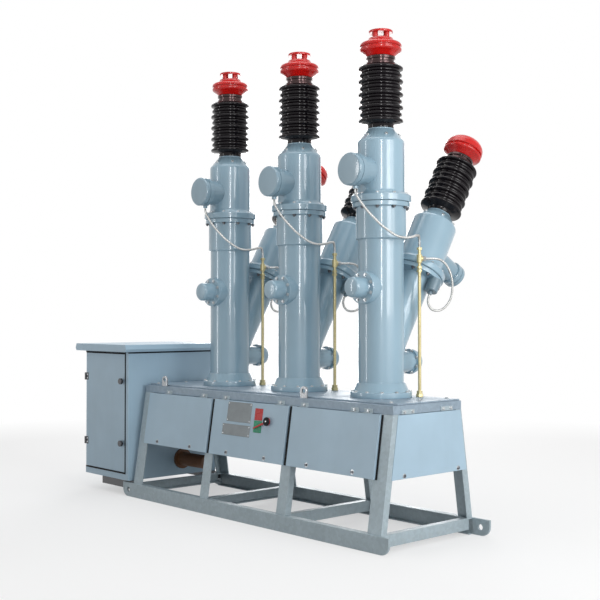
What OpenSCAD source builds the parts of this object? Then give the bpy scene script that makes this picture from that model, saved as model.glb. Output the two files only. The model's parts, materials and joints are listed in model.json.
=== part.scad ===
// Three-pole outdoor gas insulated breaker on a skid frame, with a mechanism cabinet at its left end.
// Millimetres. X runs along the row of poles, -Y is the front, Z is up from the ground.

/* [Support frame] */
// Length of the frame along the row of poles
frame_l = 2480; // [2300:10:2700]
// Depth of the frame at its top
frame_top_d = 582; // [520:2:640]
// Depth of the frame at the ground
frame_foot_d = 836; // [760:2:880]
// Height of the top plate's upper face
frame_h = 824; // [790:1:880]
// Distance between the two middle legs
bay_l = 786; // [740:1:830]
// Flange width of the middle legs
leg_w = 85; // [70:1:95]
// Flange width of the corner legs
corner_leg_w = 105; // [90:1:120]
// Width of the legs' side flanges
leg_side_w = 48; // [44:1:60]
// Thickness of the angle legs
leg_t = 8; // [6:1:12]
// Height of the top rails
rail_h = 51; // [40:1:60]
// Depth of the top rails
rail_w = 60; // [50:1:70]
// Thickness of the top plate
plate_t = 10; // [6:1:16]
// Width of the front rail left bare by the top plate
plate_front_inset = 40; // [32:1:46]
// Width of the rear rail left bare by the top plate
plate_rear_inset = 10; // [4:1:20]

/* [Skids] */
// Height of the skid channels
skid_h = 100; // [80:1:120]
// Flange width of the skid channels
skid_w = 48; // [40:1:60]
// Height of the cross rails between the skids
cross_h = 70; // [60:1:78]
// Wall of the skid channels
skid_t = 8; // [5:1:10]
// Length of the left tow noses past the frame's end
left_nose_l = 120; // [104:1:180]
// Length of the rear right tow nose past the frame's end
right_nose_l = 130; // [110:1:200]
// Length of the plain end at the front right
plain_nose_l = 70; // [40:1:90]
// Distance of a tow hole from its nose's tip
tow_hole_inset = 70; // [60:1:80]
// Thickness of a tow nose
nose_t = 16; // [10:1:24]
// Diameter of the tow holes
tow_hole_d = 36; // [24:1:44]
// Diameter of the anchor holes
anchor_hole_d = 22; // [14:1:26]
// Distance of the anchor holes from the frame's end
anchor_inset = 120; // [100:1:200]

/* [Panels] */
// Height of the panels' lower edge above the ground
panel_z = 397; // [340:1:460]
// Depth of the folded front and rear panels
panel_d = 18; // [12:1:24]
// Sheet thickness of the panels
panel_t = 3; // [2:0.5:5]
// Gap between neighbouring front panels
panel_gap = 34; // [20:1:44]
// Width of the corner legs left bare by the panels
corner_show = 85; // [70:1:96]

/* [Poles] */
// Distance between neighbouring poles
pole_pitch = 750; // [700:10:800]
// Distance of the middle pole right of the frame's middle
pole_x = 60; // [0:1:80]
// Distance of the poles behind the middle of the frame
pole_y = 58; // [40:1:80]
// Diameter of the upright tank
tank_d = 281; // [270:1:296]
// Diameter of the tank's upper neck
neck_d = 307; // [302:1:320]
// Height of the tank above the top plate
tank_h = 1197; // [1100:1:1300]
// Height of the upper neck
neck_h = 198; // [160:1:220]
// Diameter of the base flange
base_flange_d = 380; // [360:1:400]
// Thickness of the base flange
base_flange_t = 34; // [24:1:40]
// Height of the conical collar over the base flange
collar_h = 54; // [40:1:70]
// Diameter of the tank's upper flange
tank_flange_d = 352; // [340:1:364]
// Thickness of the tank's upper flange
tank_flange_t = 30; // [22:1:36]
// Height of the handhole above the top plate
handhole_h = 671; // [600:1:720]
// Diameter of the handhole flange
handhole_d = 200; // [180:1:220]
// Diameter of the handhole's domed cap
handhole_cap_d = 126; // [110:1:140]

/* [Tilted arms] */
// Lean of the arms from upright, in degrees
arm_tilt = 30; // [28:0.5:32]
// Height above the top plate where arm and tank axes meet
junction_h = 211; // [200:1:230]
// Length of an arm from the tank's axis to its housing
arm_l = 640; // [600:1:680]
// Diameter of an arm at the tank
arm_low_d = 212; // [200:1:216]
// Diameter of an arm below its flange
arm_top_d = 222; // [216:1:230]
// Diameter of the rear stub's flange
stub_flange_d = 160; // [150:1:180]
// Distance of the rear stub's face behind the pole
stub_l = 272; // [262:1:290]
// Length of the rear end cover's dome
end_cover_l = 70; // [50:1:90]

/* [Transformer housings] */
// Diameter of a housing's body
housing_d = 290; // [280:1:300]
// Diameter of a housing's foot flange
foot_flange_d = 370; // [356:1:384]
// Thickness of the foot flange
foot_flange_t = 45; // [30:1:60]
// Height of the housing up to its shoulder
shoulder_h = 365; // [340:1:400]
// Overall height of a housing
housing_h = 457; // [440:1:490]
// Diameter of the housing's mouth under the bushing
mouth_d = 164; // [150:1:176]
// Diameter of a front terminal box
box_d = 200; // [180:1:210]
// Distance of a front terminal box's face from the housing's axis
box_l = 285; // [262:1:300]
// Height of a front terminal box's axis over the foot flange
box_h = 184; // [170:1:200]
// Diameter of a rear terminal box
rear_box_d = 156; // [140:1:170]
// Distance of a rear terminal box's face from the housing's axis
rear_box_l = 355; // [330:1:390]
// Height of a rear terminal box's axis over the foot flange
rear_box_h = 190; // [176:1:210]

/* [Bushings] */
// Height of a bushing's plain neck
bushing_neck_h = 27; // [20:1:40]
// Height of the stack of sheds
shed_stack_h = 365; // [330:1:400]
// Number of sheds, wide and narrow in turn
shed_count = 9; // [7:2:11]
// Diameter of the wide sheds
wide_shed_d = 278; // [266:1:290]
// Diameter of the narrow sheds
narrow_shed_d = 258; // [250:1:264]
// Diameter of the grooves between sheds
groove_d = 232; // [222:1:240]
// Height of the metal collar over a bushing
cap_collar_h = 52; // [40:1:60]
// Diameter of the metal collar
cap_collar_d = 180; // [172:1:190]

/* [Line terminals] */
// Largest diameter of a terminal cap
cap_d = 260; // [240:1:270]
// Height of a front terminal cap up to its hub
cap_h = 118; // [100:1:130]
// Height of a rear terminal cap's dome
dome_h = 159; // [140:1:176]
// Height of the posts under the pad
post_h = 32; // [24:1:40]
// Diameter of the round pad
pad_d = 150; // [136:1:160]
// Thickness of the round pad
pad_t = 15; // [10:1:20]

/* [Mechanism cabinet] */
// Width of the cabinet along the row of poles
cabinet_w = 599; // [520:1:640]
// Depth of the cabinet with its door
cabinet_d = 805; // [740:1:840]
// Distance of the cabinet's face in front of the frame's middle
cabinet_y = 426; // [400:1:450]
// Height of the cabinet's walls
cabinet_h = 947; // [880:1:1000]
// Height of the cabinet's floor above the ground
cabinet_z = 112; // [108:1:140]
// Gap between the frame's end and the cabinet
cabinet_gap = 40; // [20:1:110]
// Wall thickness of the cabinet
cabinet_t = 6; // [3:0.5:8]
// Thickness of the roof hood
roof_t = 54; // [40:1:64]
// Overhang of the roof hood
roof_over = 60; // [40:1:80]
// Thickness of the door
door_t = 25; // [18:1:30]
// Gap round the door
door_gap = 6; // [5:0.5:8]
// Width of the stile beside the door
stile_w = 34; // [24:1:44]
// Height of the sill under the door
sill_h = 52; // [40:1:64]
// Height of the bearers under the cabinet
bearer_h = 60; // [40:1:70]

/* [Position indicator] */
// Distance of the pointer's pivot right of the frame's middle
pivot_x = 201; // [180:1:230]
// Distance of the pointer's pivot below the panel's top edge
pivot_drop = 113; // [92:1:130]
// Length of the pointer from its pivot
pointer_l = 140; // [110:1:150]
// Direction of the pointer at rest, in degrees below level
pointer_rest = 21.8; // [18:0.1:26]
// Side of the two coloured plates
sign_side = 76; // [60:1:80]

/* [Wiring] */
// Outside diameter of the flexible hoses
hose_d = 16; // [12:1:18]
// Outside diameter of the conduit pipes
pipe_d = 20; // [16:1:24]

/* [Hidden] */
$fn = 64;
// One overrun for all cuts
over = 20;
// Clearance between curved faces that seat on each other
seat = 0.3;

tank_paint = [0.52, 0.62, 0.67];
panel_paint = [0.55, 0.61, 0.69];
zinc = [0.51, 0.57, 0.59];
shed_black = [0.14, 0.11, 0.13];
terminal_red = [0.84, 0.16, 0.12];
bright_metal = [0.78, 0.79, 0.80];
brass_yellow = [0.78, 0.71, 0.39];
sign_green = [0.10, 0.60, 0.42];
dark_steel = [0.16, 0.17, 0.20];
coupling_brown = [0.42, 0.26, 0.13];

// Frame
slant = atan((frame_foot_d - frame_top_d) / 2 / frame_h);
rail_z = frame_h - plate_t - rail_h;
function face_y(z) = frame_foot_d / 2 - z * tan(slant);
rail_y = face_y(rail_z);
nose_r = 60;
nose_corner_share = 0.9;
end_front_inset = 40;
end_rear_inset = 10;
plate_end_inset = 4;
panel_top_gap = 3;
panel_low = panel_z / cos(slant);
panel_high = (rail_z - panel_top_gap) / cos(slant);
anchor_x = frame_l / 2 - anchor_inset;
anchor_y = frame_foot_d / 2 - (skid_w + skid_t) / 2;

// Front lifting eyes stand on the bare strip of their rail, the rear ones on the top plate
eye_left_inset = 220;
eye_right_shift = 83;
eye_xs = [-frame_l / 2 + eye_left_inset, bay_l / 2 + eye_right_shift];
eye_front_edge = 20;
eye_rear_edge = 28;
eye_w = 60;
eye_t = 14;
eye_hole_d = 30;
eye_axis_h = 44;

// Poles
poles = [-1, 0, 1];
tank_top = frame_h + tank_h;
collar_foot_share = 0.93;
collar_lip = 5;
collar_top = base_flange_t + collar_h;
neck_z = tank_h - tank_flange_t - neck_h;
handhole_z = frame_h + handhole_h;
handhole_pad = 17;
handhole_pad_l = tank_d / 2 + handhole_pad;
cover_flange_t = 15;
handhole_cap_l = 100;
cap_round = 30;
junction_z = frame_h + junction_h;
stub_neck_share = 0.82;
stub_flange_t = 20;
end_cover_rim = 10;
end_cover_share = 0.92;
end_cover_d = stub_flange_d * end_cover_share;

// Housings
foot_chamfer = 7;
foot_fillet = 30;
shoulder_r = 30;
shoulder_end = 50;
mouth_lip = 12;
mouth_round = 6;
box_neck_share = 0.86;
box_cover_t = 72;
box_round = 10;
gland_d = 30;
gland_y = 225;
gland_end = 115;

// Bushings and terminals
shed_pitch = shed_stack_h / shed_count;
shed_lip = 7;
shed_droop = 3;
shed_land = 3;
// Angles where a shed's round lip starts and ends
lip_low = -80;
lip_high = 70;
bushing_neck_d = 160;
bushing_h = bushing_neck_h + shed_stack_h;
bushing_top_d = 200;
cap_z = housing_h + bushing_h + cap_collar_h;
post_w = 24;
post_ring_share = 0.66;
collar_groove = 8;
// Outline of a terminal cap as shares of its radius and its height, the dome taking its lower points
cap_shares = [[0, 0], [0.64, 0], [0.70, 0.10], [0.92, 0.27], [0.99, 0.32], [1, 0.36], [1, 0.42],
    [0.97, 0.46], [0.91, 0.47], [0.91, 0.53], [0.97, 0.54], [1, 0.58], [0.99, 0.66], [0.93, 0.73],
    [0.76, 0.80], [0.66, 0.86], [0.60, 0.94], [0.58, 1], [0, 1]];
dome_points = 13;
dome_end = 72;

// Wiring
pipe_x = 160;
pipe_y = 175;
pipe_top = 921;
tee_z = 852;
tee_d = 34;
tee_h = 50;
tee_l = 40;
tee_turn = 60;
nut_d = 34;
nut_h = 16;
nut_z = 790;
base_nut_d = 46;
base_nut_h = 38;
stub_x = 156;
stub_b = 28;
stub_d = 80;
stub_s = 523;
stub_gland_d = 26;
stub_gland_l = 20;
// Routes of the two hoses from a pole's axis at ground level
front_route = [[0, -225, 2089.7], [0, -225, 2077], [4, -225.3, 2062.5], [20, -225, 2038], [48, -220.5, 2001],
    [84, -211, 1955], [121, -193, 1911], [155, -168, 1868], [186, -134, 1831], [206, -104, 1808],
    [220, -72, 1795], [230, -26, 1791], [230, 26, 1798], [219, 77, 1809], [192, 131.5, 1814],
    [179.7, 148.1, 1809.9], [169.4, 162.2, 1798.2], [162.4, 171.7, 1780.7], [160, 175, 1760],
    [160, 175, 1745.3]];
rear_route = [[180, 210, 1676], [195, 236, 1676], [206, 275, 1677], [212, 321, 1669], [214, 368, 1640],
    [213, 406, 1595], [211, 428, 1543], [209, 432, 1491], [205, 424, 1440], [198, 404, 1401],
    [189, 375, 1372], [180, 345, 1358], [172, 314.2, 1355.3], [165, 286.2, 1362.8], [160, 265.7, 1383.3],
    [157, 258.2, 1411.3], [156, 265.7, 1439.3], [156, 275.5, 1456.2]];
hose_sides = 10;
upright_share = 0.9;

// Cabinet
cab_right = -frame_l / 2 - cabinet_gap;
cab_left = cab_right - cabinet_w;
cab_front = -cabinet_y;
cab_back = cab_front + cabinet_d;
cab_top = cabinet_z + cabinet_h;
wall_front = cab_front + door_t + door_gap;
roof_slope = 26;
roof_drop = 20;
door_left = cab_left + door_gap;
door_right = cab_right - cabinet_t - stile_w - door_gap;
door_low = cabinet_z + sill_h + door_gap;
door_high = cab_top - door_gap;
hinge_d = 18;
hinge_out = 10;
hinge_back = 3;
hinge_x = cab_left - hinge_out;
hinge_y = wall_front - hinge_back;
hinge_h = 45;
hinge_leaf_t = 6;
hinge_leaf_w = 40;
door_leaf_w = 30;
hinge_shares = [0.22, 0.78];
knob_shares = [0.24, 0.76];
knob_stem_d = 16;
knob_d = 44;
knob_stem_l = 12;
knob_t = 16;
knob_inset = 30;
bearer_w = 60;
bearer_reach_share = 0.66;
bearer_y = frame_foot_d / 2 - nose_t - bearer_w;
coupling_d = 100;
coupling_l = 310;
coupling_z = 235;
coupling_flange_d = 150;
coupling_flange_t = 18;

// Indicator
sign_t = 2;
sign_x = 101;
sign_gap = 3;
spindle_d = 18;
pointer_lift = 8;
pointer_t = 4;
pointer_w = 16;
pointer_tip = 8;
pivot_knob_d = 52;
pivot_knob_t = 14;
pivot_s = panel_high - pivot_drop;

// Points of an arc about a centre
function arc(c, r, a0, a1, n = 6) =
    [for (i = [0 : n]) let (a = a0 + (a1 - a0) * i / n) c + r * [cos(a), sin(a)]];

// Unit vector
function unit(v) = v / norm(v);

// Direction of a route at one of its points
function heading(p, i) = unit(p[min(i + 1, len(p) - 1)] - p[max(i - 1, 0)]);

// Ring of points about a route at one of its points
function ring(p, i, r) =
    let (t = heading(p, i))
    let (s = unit(cross(t, abs(t[2]) < upright_share ? [0, 0, 1] : [0, 1, 0])))
    let (u = cross(t, s))
    [for (k = [0 : hose_sides - 1]) let (a = 360 * k / hose_sides) p[i] + r * (s * cos(a) + u * sin(a))];

// Round tube swept along a route
module tube(p, d) {
    n = len(p);
    m = hose_sides;
    points = [for (i = [0 : n - 1]) each ring(p, i, d / 2)];
    sides = [for (i = [0 : n - 2]) for (k = [0 : m - 1])
        [i * m + k, (i + 1) * m + k, (i + 1) * m + (k + 1) % m, i * m + (k + 1) % m]];
    ends = [[for (k = [0 : m - 1]) k], [for (k = [m - 1 : -1 : 0]) (n - 1) * m + k]];
    polyhedron(points, concat(sides, ends));
}

// Channel along X with its web on the XZ plane and its flanges towards +Y
module channel(l, h, w, t) {
    rotate([90, 0, 90])
        translate([0, 0, -l / 2])
            linear_extrude(l)
                polygon([[0, 0], [w, 0], [w, t], [t, t], [t, h - t], [w, h - t], [w, h], [0, h]]);
}

// Copies children to the front and to the rear
module both_sides() {
    children();
    mirror([0, 1, 0])
        children();
}

// Moves children onto the sloping front face, Z running up the slope
module on_front() {
    translate([0, -frame_foot_d / 2, 0])
        rotate([-slant, 0, 0])
            children();
}

// Moves children to the foot of one pole's axis
module on_pole(i) {
    translate([pole_x + i * pole_pitch, pole_y, 0])
        children();
}

// Moves children to one tilted arm's axis, Z running up the arm and Y to its rear
module on_arm(i) {
    translate([pole_x + i * pole_pitch, pole_y, junction_z])
        rotate([-arm_tilt, 0, 0])
            children();
}

module skid_rails() {
    color(zinc)
        both_sides()
            difference() {
                translate([0, -frame_foot_d / 2, 0])
                    channel(frame_l, skid_h, skid_w, skid_t);
                for (x = [-anchor_x, anchor_x])
                    translate([x, -anchor_y, -over])
                        cylinder(d = anchor_hole_d, h = skid_t + 2 * over);
            }
}

// Plate on a skid's end with its lower corner rounded like a runner
module nose(l) {
    r = min(nose_r, l * nose_corner_share);
    rotate([90, 0, 0])
        translate([0, 0, -nose_t])
            linear_extrude(nose_t)
                polygon(concat([[0, 0]], arc([l - r, r], r, -90, 0), [[l, skid_h], [0, skid_h]]));
}

module tow_nose(l) {
    difference() {
        nose(l);
        translate([l - tow_hole_inset, -over, skid_h / 2])
            rotate([-90, 0, 0])
                cylinder(d = tow_hole_d, h = nose_t + 2 * over);
    }
}

// Moves children to the end of the front right skid
module on_skid_end() {
    translate([frame_l / 2, -frame_foot_d / 2, 0])
        children();
}

module skid_noses() {
    color(zinc) {
        both_sides()
            mirror([1, 0, 0])
                on_skid_end()
                    tow_nose(left_nose_l);
        mirror([0, 1, 0])
            on_skid_end()
                tow_nose(right_nose_l);
        on_skid_end()
            nose(plain_nose_l);
    }
}

module cross_rails() {
    l = frame_foot_d - 2 * skid_w;
    color(zinc)
        for (side = [0, 1])
            mirror([side, 0, 0])
                for (x = [frame_l / 2, (bay_l + skid_w) / 2])
                    translate([x, 0, skid_h - cross_h])
                        rotate([0, 0, 90])
                            channel(l, cross_h, skid_w, skid_t);
}

// Angle leg whose outer edge stands at x = 0 and whose flange of a given width runs to -X
module leg(w) {
    l = frame_h / cos(slant);
    intersection() {
        on_front()
            linear_extrude(l)
                polygon([[0, 0], [0, leg_side_w], [-leg_t, leg_side_w], [-leg_t, leg_t], [-w, leg_t],
                    [-w, 0]]);
        translate([-w - over, -frame_foot_d, skid_h])
            cube([w + 2 * over, 2 * frame_foot_d, rail_z - skid_h]);
    }
}

module leg_row() {
    for (side = [0, 1])
        mirror([side, 0, 0]) {
            translate([frame_l / 2, 0, 0])
                leg(corner_leg_w);
            translate([bay_l / 2 + leg_w / 2, 0, 0])
                leg(leg_w);
        }
}

module front_legs() {
    color(zinc)
        leg_row();
}

module rear_legs() {
    color(zinc)
        mirror([0, 1, 0])
            leg_row();
}

module top_rails() {
    color(zinc)
        both_sides()
            translate([-frame_l / 2, -rail_y, rail_z])
                cube([frame_l, rail_w, rail_h]);
}

module end_rails() {
    color(zinc)
        for (side = [0, 1])
            mirror([side, 0, 0])
                translate([frame_l / 2 - rail_w, -rail_y + rail_w, rail_z])
                    cube([rail_w, 2 * (rail_y - rail_w), rail_h]);
}

module top_plate() {
    l = frame_l - 2 * plate_end_inset;
    color(zinc)
        translate([-l / 2, plate_front_inset - rail_y, frame_h - plate_t])
            cube([l, 2 * rail_y - plate_front_inset - plate_rear_inset, plate_t]);
}

module lifting_eye() {
    rotate([90, 0, 0])
        translate([0, 0, -eye_t / 2])
            linear_extrude(eye_t)
                difference() {
                    union() {
                        translate([-eye_w / 2, 0])
                            square([eye_w, eye_axis_h]);
                        translate([0, eye_axis_h])
                            circle(d = eye_w);
                    }
                    translate([0, eye_axis_h])
                        circle(d = eye_hole_d);
                }
}

module lifting_eyes() {
    color(bright_metal)
        for (x = eye_xs) {
            translate([x, eye_front_edge - rail_y, frame_h - plate_t])
                lifting_eye();
            translate([x, rail_y - plate_rear_inset - eye_rear_edge, frame_h])
                lifting_eye();
        }
}

// Folded panel between two places on the sloping face, open towards the legs
module panel(left, right) {
    on_front()
        translate([left, -panel_d, panel_low])
            difference() {
                cube([right - left, panel_d, panel_high - panel_low]);
                translate([panel_t, panel_t, panel_t])
                    cube([right - left - 2 * panel_t, panel_d, panel_high - panel_low - 2 * panel_t]);
            }
}

module panel_row() {
    inner = (bay_l - panel_gap) / 2;
    panel(-frame_l / 2 + corner_show, -inner - panel_gap);
    panel(-inner, inner);
    panel(inner + panel_gap, frame_l / 2 - corner_show);
}

module front_panels() {
    color(panel_paint)
        panel_row();
}

module rear_panels() {
    color(panel_paint)
        mirror([0, 1, 0])
            panel_row();
}

module end_panels() {
    z1 = rail_z - panel_top_gap;
    low = face_y(panel_z);
    high = face_y(z1);
    color(panel_paint)
        for (side = [0, 1])
            mirror([side, 0, 0])
                translate([frame_l / 2, 0, 0])
                    rotate([90, 0, 90])
                        linear_extrude(panel_t)
                            polygon([[end_front_inset - low, panel_z], [low - end_rear_inset, panel_z],
                                [high - end_rear_inset, z1], [end_front_inset - high, z1]]);
}

// Base flanges with their conical collars
module tank_bases() {
    r = base_flange_d / 2;
    color(tank_paint)
        for (i = poles)
            on_pole(i)
                translate([0, 0, frame_h])
                    rotate_extrude()
                        polygon([[0, 0], [r, 0], [r, base_flange_t], [r * collar_foot_share, base_flange_t],
                            [tank_d / 2 + collar_lip, collar_top], [0, collar_top]]);
}

// Upright tank with its handhole pad
module tank(i) {
    color(tank_paint)
        on_pole(i) {
            translate([0, 0, frame_h + collar_top])
                cylinder(d = tank_d, h = neck_z - collar_top);
            translate([0, 0, handhole_z])
                rotate([90, 0, 0])
                    cylinder(d = handhole_d, h = handhole_pad_l);
        }
}

module tank_left() tank(poles[0]);

module tank_middle() tank(poles[1]);

module tank_right() tank(poles[2]);

// Wider upper ends of the tanks with their flanges
module tank_necks() {
    color(tank_paint)
        for (i = poles)
            on_pole(i)
                translate([0, 0, frame_h + neck_z]) {
                    cylinder(d = neck_d, h = neck_h);
                    translate([0, 0, neck_h])
                        cylinder(d = tank_flange_d, h = tank_flange_t);
                }
}

// Tilted arm with its flange and the rear stub, both fitted round the tank
module arm(i) {
    tube_l = arm_l - tank_flange_t;
    color(tank_paint)
        difference() {
            union() {
                on_arm(i) {
                    cylinder(d1 = arm_low_d, d2 = arm_top_d, h = tube_l);
                    translate([0, 0, tube_l])
                        cylinder(d = tank_flange_d, h = tank_flange_t);
                }
                on_pole(i)
                    translate([0, 0, junction_z])
                        rotate([-90, 0, 0]) {
                            cylinder(d = stub_flange_d * stub_neck_share, h = stub_l);
                            translate([0, 0, stub_l - stub_flange_t])
                                cylinder(d = stub_flange_d, h = stub_flange_t);
                        }
            }
            on_pole(i)
                translate([0, 0, frame_h])
                    cylinder(r = tank_d / 2 + seat, h = tank_h);
        }
}

module arm_left() arm(poles[0]);

module arm_middle() arm(poles[1]);

module arm_right() arm(poles[2]);

module handhole_covers() {
    r = handhole_cap_d / 2;
    tip = cover_flange_t + handhole_cap_l;
    color(tank_paint)
        for (i = poles)
            on_pole(i)
                translate([0, -handhole_pad_l, handhole_z])
                    rotate([90, 0, 0])
                        rotate_extrude()
                            polygon(concat([[0, 0], [handhole_d / 2, 0], [handhole_d / 2, cover_flange_t]],
                                [[r, cover_flange_t]],
                                arc([r - cap_round, tip - cap_round], cap_round, 0, 90), [[0, tip]]));
}

module rear_end_covers() {
    r = end_cover_d / 2;
    dome = end_cover_l - end_cover_rim;
    color(tank_paint)
        for (i = poles)
            on_pole(i)
                translate([0, stub_l, junction_z])
                    rotate([-90, 0, 0])
                        rotate_extrude()
                            polygon(concat([[0, 0], [r, 0]],
                                [for (a = [0 : 10 : 90]) [r * cos(a), end_cover_rim + dome * sin(a)]]));
}

// Transformer housing with a flared foot, a rounded shoulder and a conical top
module housing() {
    r = housing_d / 2;
    foot = foot_flange_d / 2;
    mouth = mouth_d / 2;
    fillet_z = foot_flange_t + foot_fillet;
    rotate_extrude()
        polygon(concat([[0, 0], [foot, 0], [foot, foot_flange_t - foot_chamfer]],
            [[foot - foot_chamfer, foot_flange_t]],
            arc([r + foot_fillet, fillet_z], foot_fillet, 270, 180),
            arc([r - shoulder_r, shoulder_h], shoulder_r, 0, shoulder_end),
            [[mouth + mouth_round, housing_h - mouth_lip], [mouth, housing_h - mouth_lip + mouth_round],
            [mouth, housing_h], [0, housing_h]]));
}

module front_housings() {
    color(tank_paint)
        for (i = poles)
            on_pole(i)
                translate([0, 0, tank_top])
                    housing();
}

module rear_housings() {
    color(tank_paint)
        for (i = poles)
            on_arm(i)
                translate([0, 0, arm_l])
                    housing();
}

// Round terminal box towards -Y, fitted round its housing
module terminal_box(d, l) {
    r = d / 2;
    neck = r * box_neck_share;
    cover_z = l - box_cover_t;
    difference() {
        union() {
            rotate([90, 0, 0])
                rotate_extrude()
                    polygon(concat([[0, 0], [neck, 0], [neck, cover_z], [r, cover_z]],
                        arc([r - box_round, l - box_round], box_round, 0, 90), [[0, l]]));
            children();
        }
        cylinder(r = housing_d / 2 + seat, h = 2 * d, center = true);
    }
}

module front_terminal_boxes() {
    color(tank_paint)
        for (i = poles)
            on_pole(i)
                translate([0, 0, tank_top + box_h])
                    terminal_box(box_d, box_l)
                        translate([0, -gland_y, -gland_end])
                            cylinder(d = gland_d, h = gland_end);
}

module rear_terminal_boxes() {
    color(tank_paint)
        for (i = poles)
            on_arm(i)
                translate([0, 0, arm_l + rear_box_h])
                    rotate([0, 0, 180])
                        terminal_box(rear_box_d, rear_box_l);
}

// Outline of one shed: sloping underside, round lip, sloping top
function shed(i) =
    let (z = bushing_neck_h + (i + 0.5) * shed_pitch)
    let (r = (i % 2 == 0 ? wide_shed_d : narrow_shed_d) / 2)
    let (g = groove_d / 2)
    concat([[g, z - shed_pitch / 2 + shed_land]],
        arc([r - shed_lip, z - shed_droop], shed_lip, lip_low, lip_high, 5),
        [[g, z + shed_pitch / 2 - shed_land]]);

module bushing() {
    neck = bushing_neck_d / 2;
    rotate_extrude()
        polygon(concat([[0, 0], [neck, 0], [neck, bushing_neck_h]],
            [for (i = [0 : shed_count - 1]) each shed(i)],
            [[bushing_top_d / 2, bushing_h], [0, bushing_h]]));
}

module front_bushings() {
    color(shed_black)
        for (i = poles)
            on_pole(i)
                translate([0, 0, tank_top + housing_h])
                    bushing();
}

module rear_bushings() {
    color(shed_black)
        for (i = poles)
            on_arm(i)
                translate([0, 0, arm_l + housing_h])
                    bushing();
}

// Copies children to the top of each upright bushing and of each tilted one
module on_bushings() {
    for (i = poles) {
        on_pole(i)
            translate([0, 0, tank_top])
                children();
        on_arm(i)
            translate([0, 0, arm_l])
                children();
    }
}

module cap_collars() {
    r = cap_collar_d / 2;
    rim = cap_collar_h / 3;
    color(bright_metal)
        on_bushings()
            translate([0, 0, housing_h + bushing_h])
                rotate_extrude()
                    polygon([[0, 0], [r, 0], [r, rim], [r - collar_groove, rim],
                        [r - collar_groove, 2 * rim], [r, 2 * rim], [r, 3 * rim], [0, 3 * rim]]);
}

module terminal_cap() {
    rotate_extrude()
        polygon([for (p = cap_shares) [p[0] * cap_d / 2, p[1] * cap_h]]);
}

module front_terminal_caps() {
    color(terminal_red)
        for (i = poles)
            on_pole(i)
                translate([0, 0, tank_top + cap_z])
                    terminal_cap();
}

// Domed cap with the same rim as the front caps
module domed_cap() {
    r = cap_d / 2;
    rim = [for (i = [0 : dome_points - 1]) [cap_shares[i][0] * r, cap_shares[i][1] * cap_h]];
    z = rim[dome_points - 1][1];
    dome = [for (a = [12 : 12 : dome_end]) [r * cos(a), z + (dome_h - z) * sin(a) / sin(dome_end)]];
    rotate_extrude()
        polygon(concat(rim, dome, [[0, dome_h]]));
}

module rear_terminal_caps() {
    color(terminal_red)
        for (i = poles)
            on_arm(i)
                translate([0, 0, arm_l + cap_z])
                    domed_cap();
}

module terminal_posts() {
    color(terminal_red)
        for (i = poles)
            on_pole(i)
                for (a = [0 : 90 : 270])
                    rotate([0, 0, a])
                        translate([pad_d / 2 * post_ring_share, 0, tank_top + cap_z + cap_h])
                            cylinder(d = post_w, h = post_h);
}

module terminal_pads() {
    color(terminal_red)
        for (i = poles)
            on_pole(i)
                translate([0, 0, tank_top + cap_z + cap_h + post_h])
                    cylinder(d = pad_d, h = pad_t);
}

// Small junction cylinder hanging from the arm's flange, with a gland under it
module junction_stubs() {
    color(tank_paint)
        for (i = poles)
            on_arm(i)
                translate([stub_x, stub_b, stub_s]) {
                    cylinder(d = stub_d, h = arm_l - tank_flange_t - stub_s);
                    translate([0, 0, -stub_gland_l])
                        cylinder(d = stub_gland_d, h = stub_gland_l);
                }
}

// Upright conduit with a base nut, a tee and nuts
module conduit_pipes() {
    color(brass_yellow)
        for (i = poles)
            on_pole(i)
                translate([pipe_x, pipe_y, frame_h]) {
                    cylinder(d = pipe_d, h = pipe_top);
                    cylinder(d = base_nut_d, h = base_nut_h, $fn = 6);
                    for (z = [nut_z, pipe_top - nut_h])
                        translate([0, 0, z])
                            cylinder(d = nut_d, h = nut_h, $fn = 6);
                    translate([0, 0, tee_z - tee_h / 2])
                        cylinder(d = tee_d, h = tee_h);
                    translate([0, 0, tee_z])
                        rotate([0, 90, tee_turn])
                            cylinder(d = nut_d, h = tee_l - seat);
                }
}

module front_hose(i) {
    color(bright_metal)
        on_pole(i)
            tube(front_route, hose_d);
}

module front_hose_left() front_hose(poles[0]);

module front_hose_middle() front_hose(poles[1]);

module front_hose_right() front_hose(poles[2]);

module rear_hose(i) {
    color(bright_metal)
        on_pole(i)
            tube(rear_route, hose_d);
}

module rear_hose_left() rear_hose(poles[0]);

module rear_hose_middle() rear_hose(poles[1]);

module rear_hose_right() rear_hose(poles[2]);

// Square plate on the front panel, its middle at a height along the slope
module sign_plate(s) {
    on_front()
        translate([sign_x - sign_side / 2, -panel_d - sign_t, s - sign_side / 2])
            cube([sign_side, sign_t, sign_side]);
}

module closed_sign() {
    color(terminal_red)
        sign_plate(pivot_s + (sign_side + sign_gap) / 2);
}

module open_sign() {
    color(sign_green)
        sign_plate(pivot_s - (sign_side + sign_gap) / 2);
}

module position_pointer() {
    color(terminal_red)
        on_front()
            translate([pivot_x, -panel_d - seat, pivot_s])
                rotate([90, 0, 0]) {
                    cylinder(d = spindle_d, h = pointer_lift);
                    translate([0, 0, pointer_lift])
                        rotate([0, 0, 180 + pointer_rest])
                            linear_extrude(pointer_t)
                                polygon([[0, -pointer_w / 2], [pointer_l, -pointer_tip / 2],
                                    [pointer_l, pointer_tip / 2], [0, pointer_w / 2]]);
                    translate([0, 0, pointer_lift])
                        cylinder(d = pivot_knob_d, h = pivot_knob_t);
                }
}

module cabinet_side_walls() {
    color(panel_paint) {
        translate([cab_left, wall_front, cabinet_z])
            cube([cabinet_t, cab_back - wall_front, cabinet_h]);
        translate([cab_right - cabinet_t, cab_front, cabinet_z])
            cube([cabinet_t, cabinet_d, cabinet_h]);
    }
}

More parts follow.
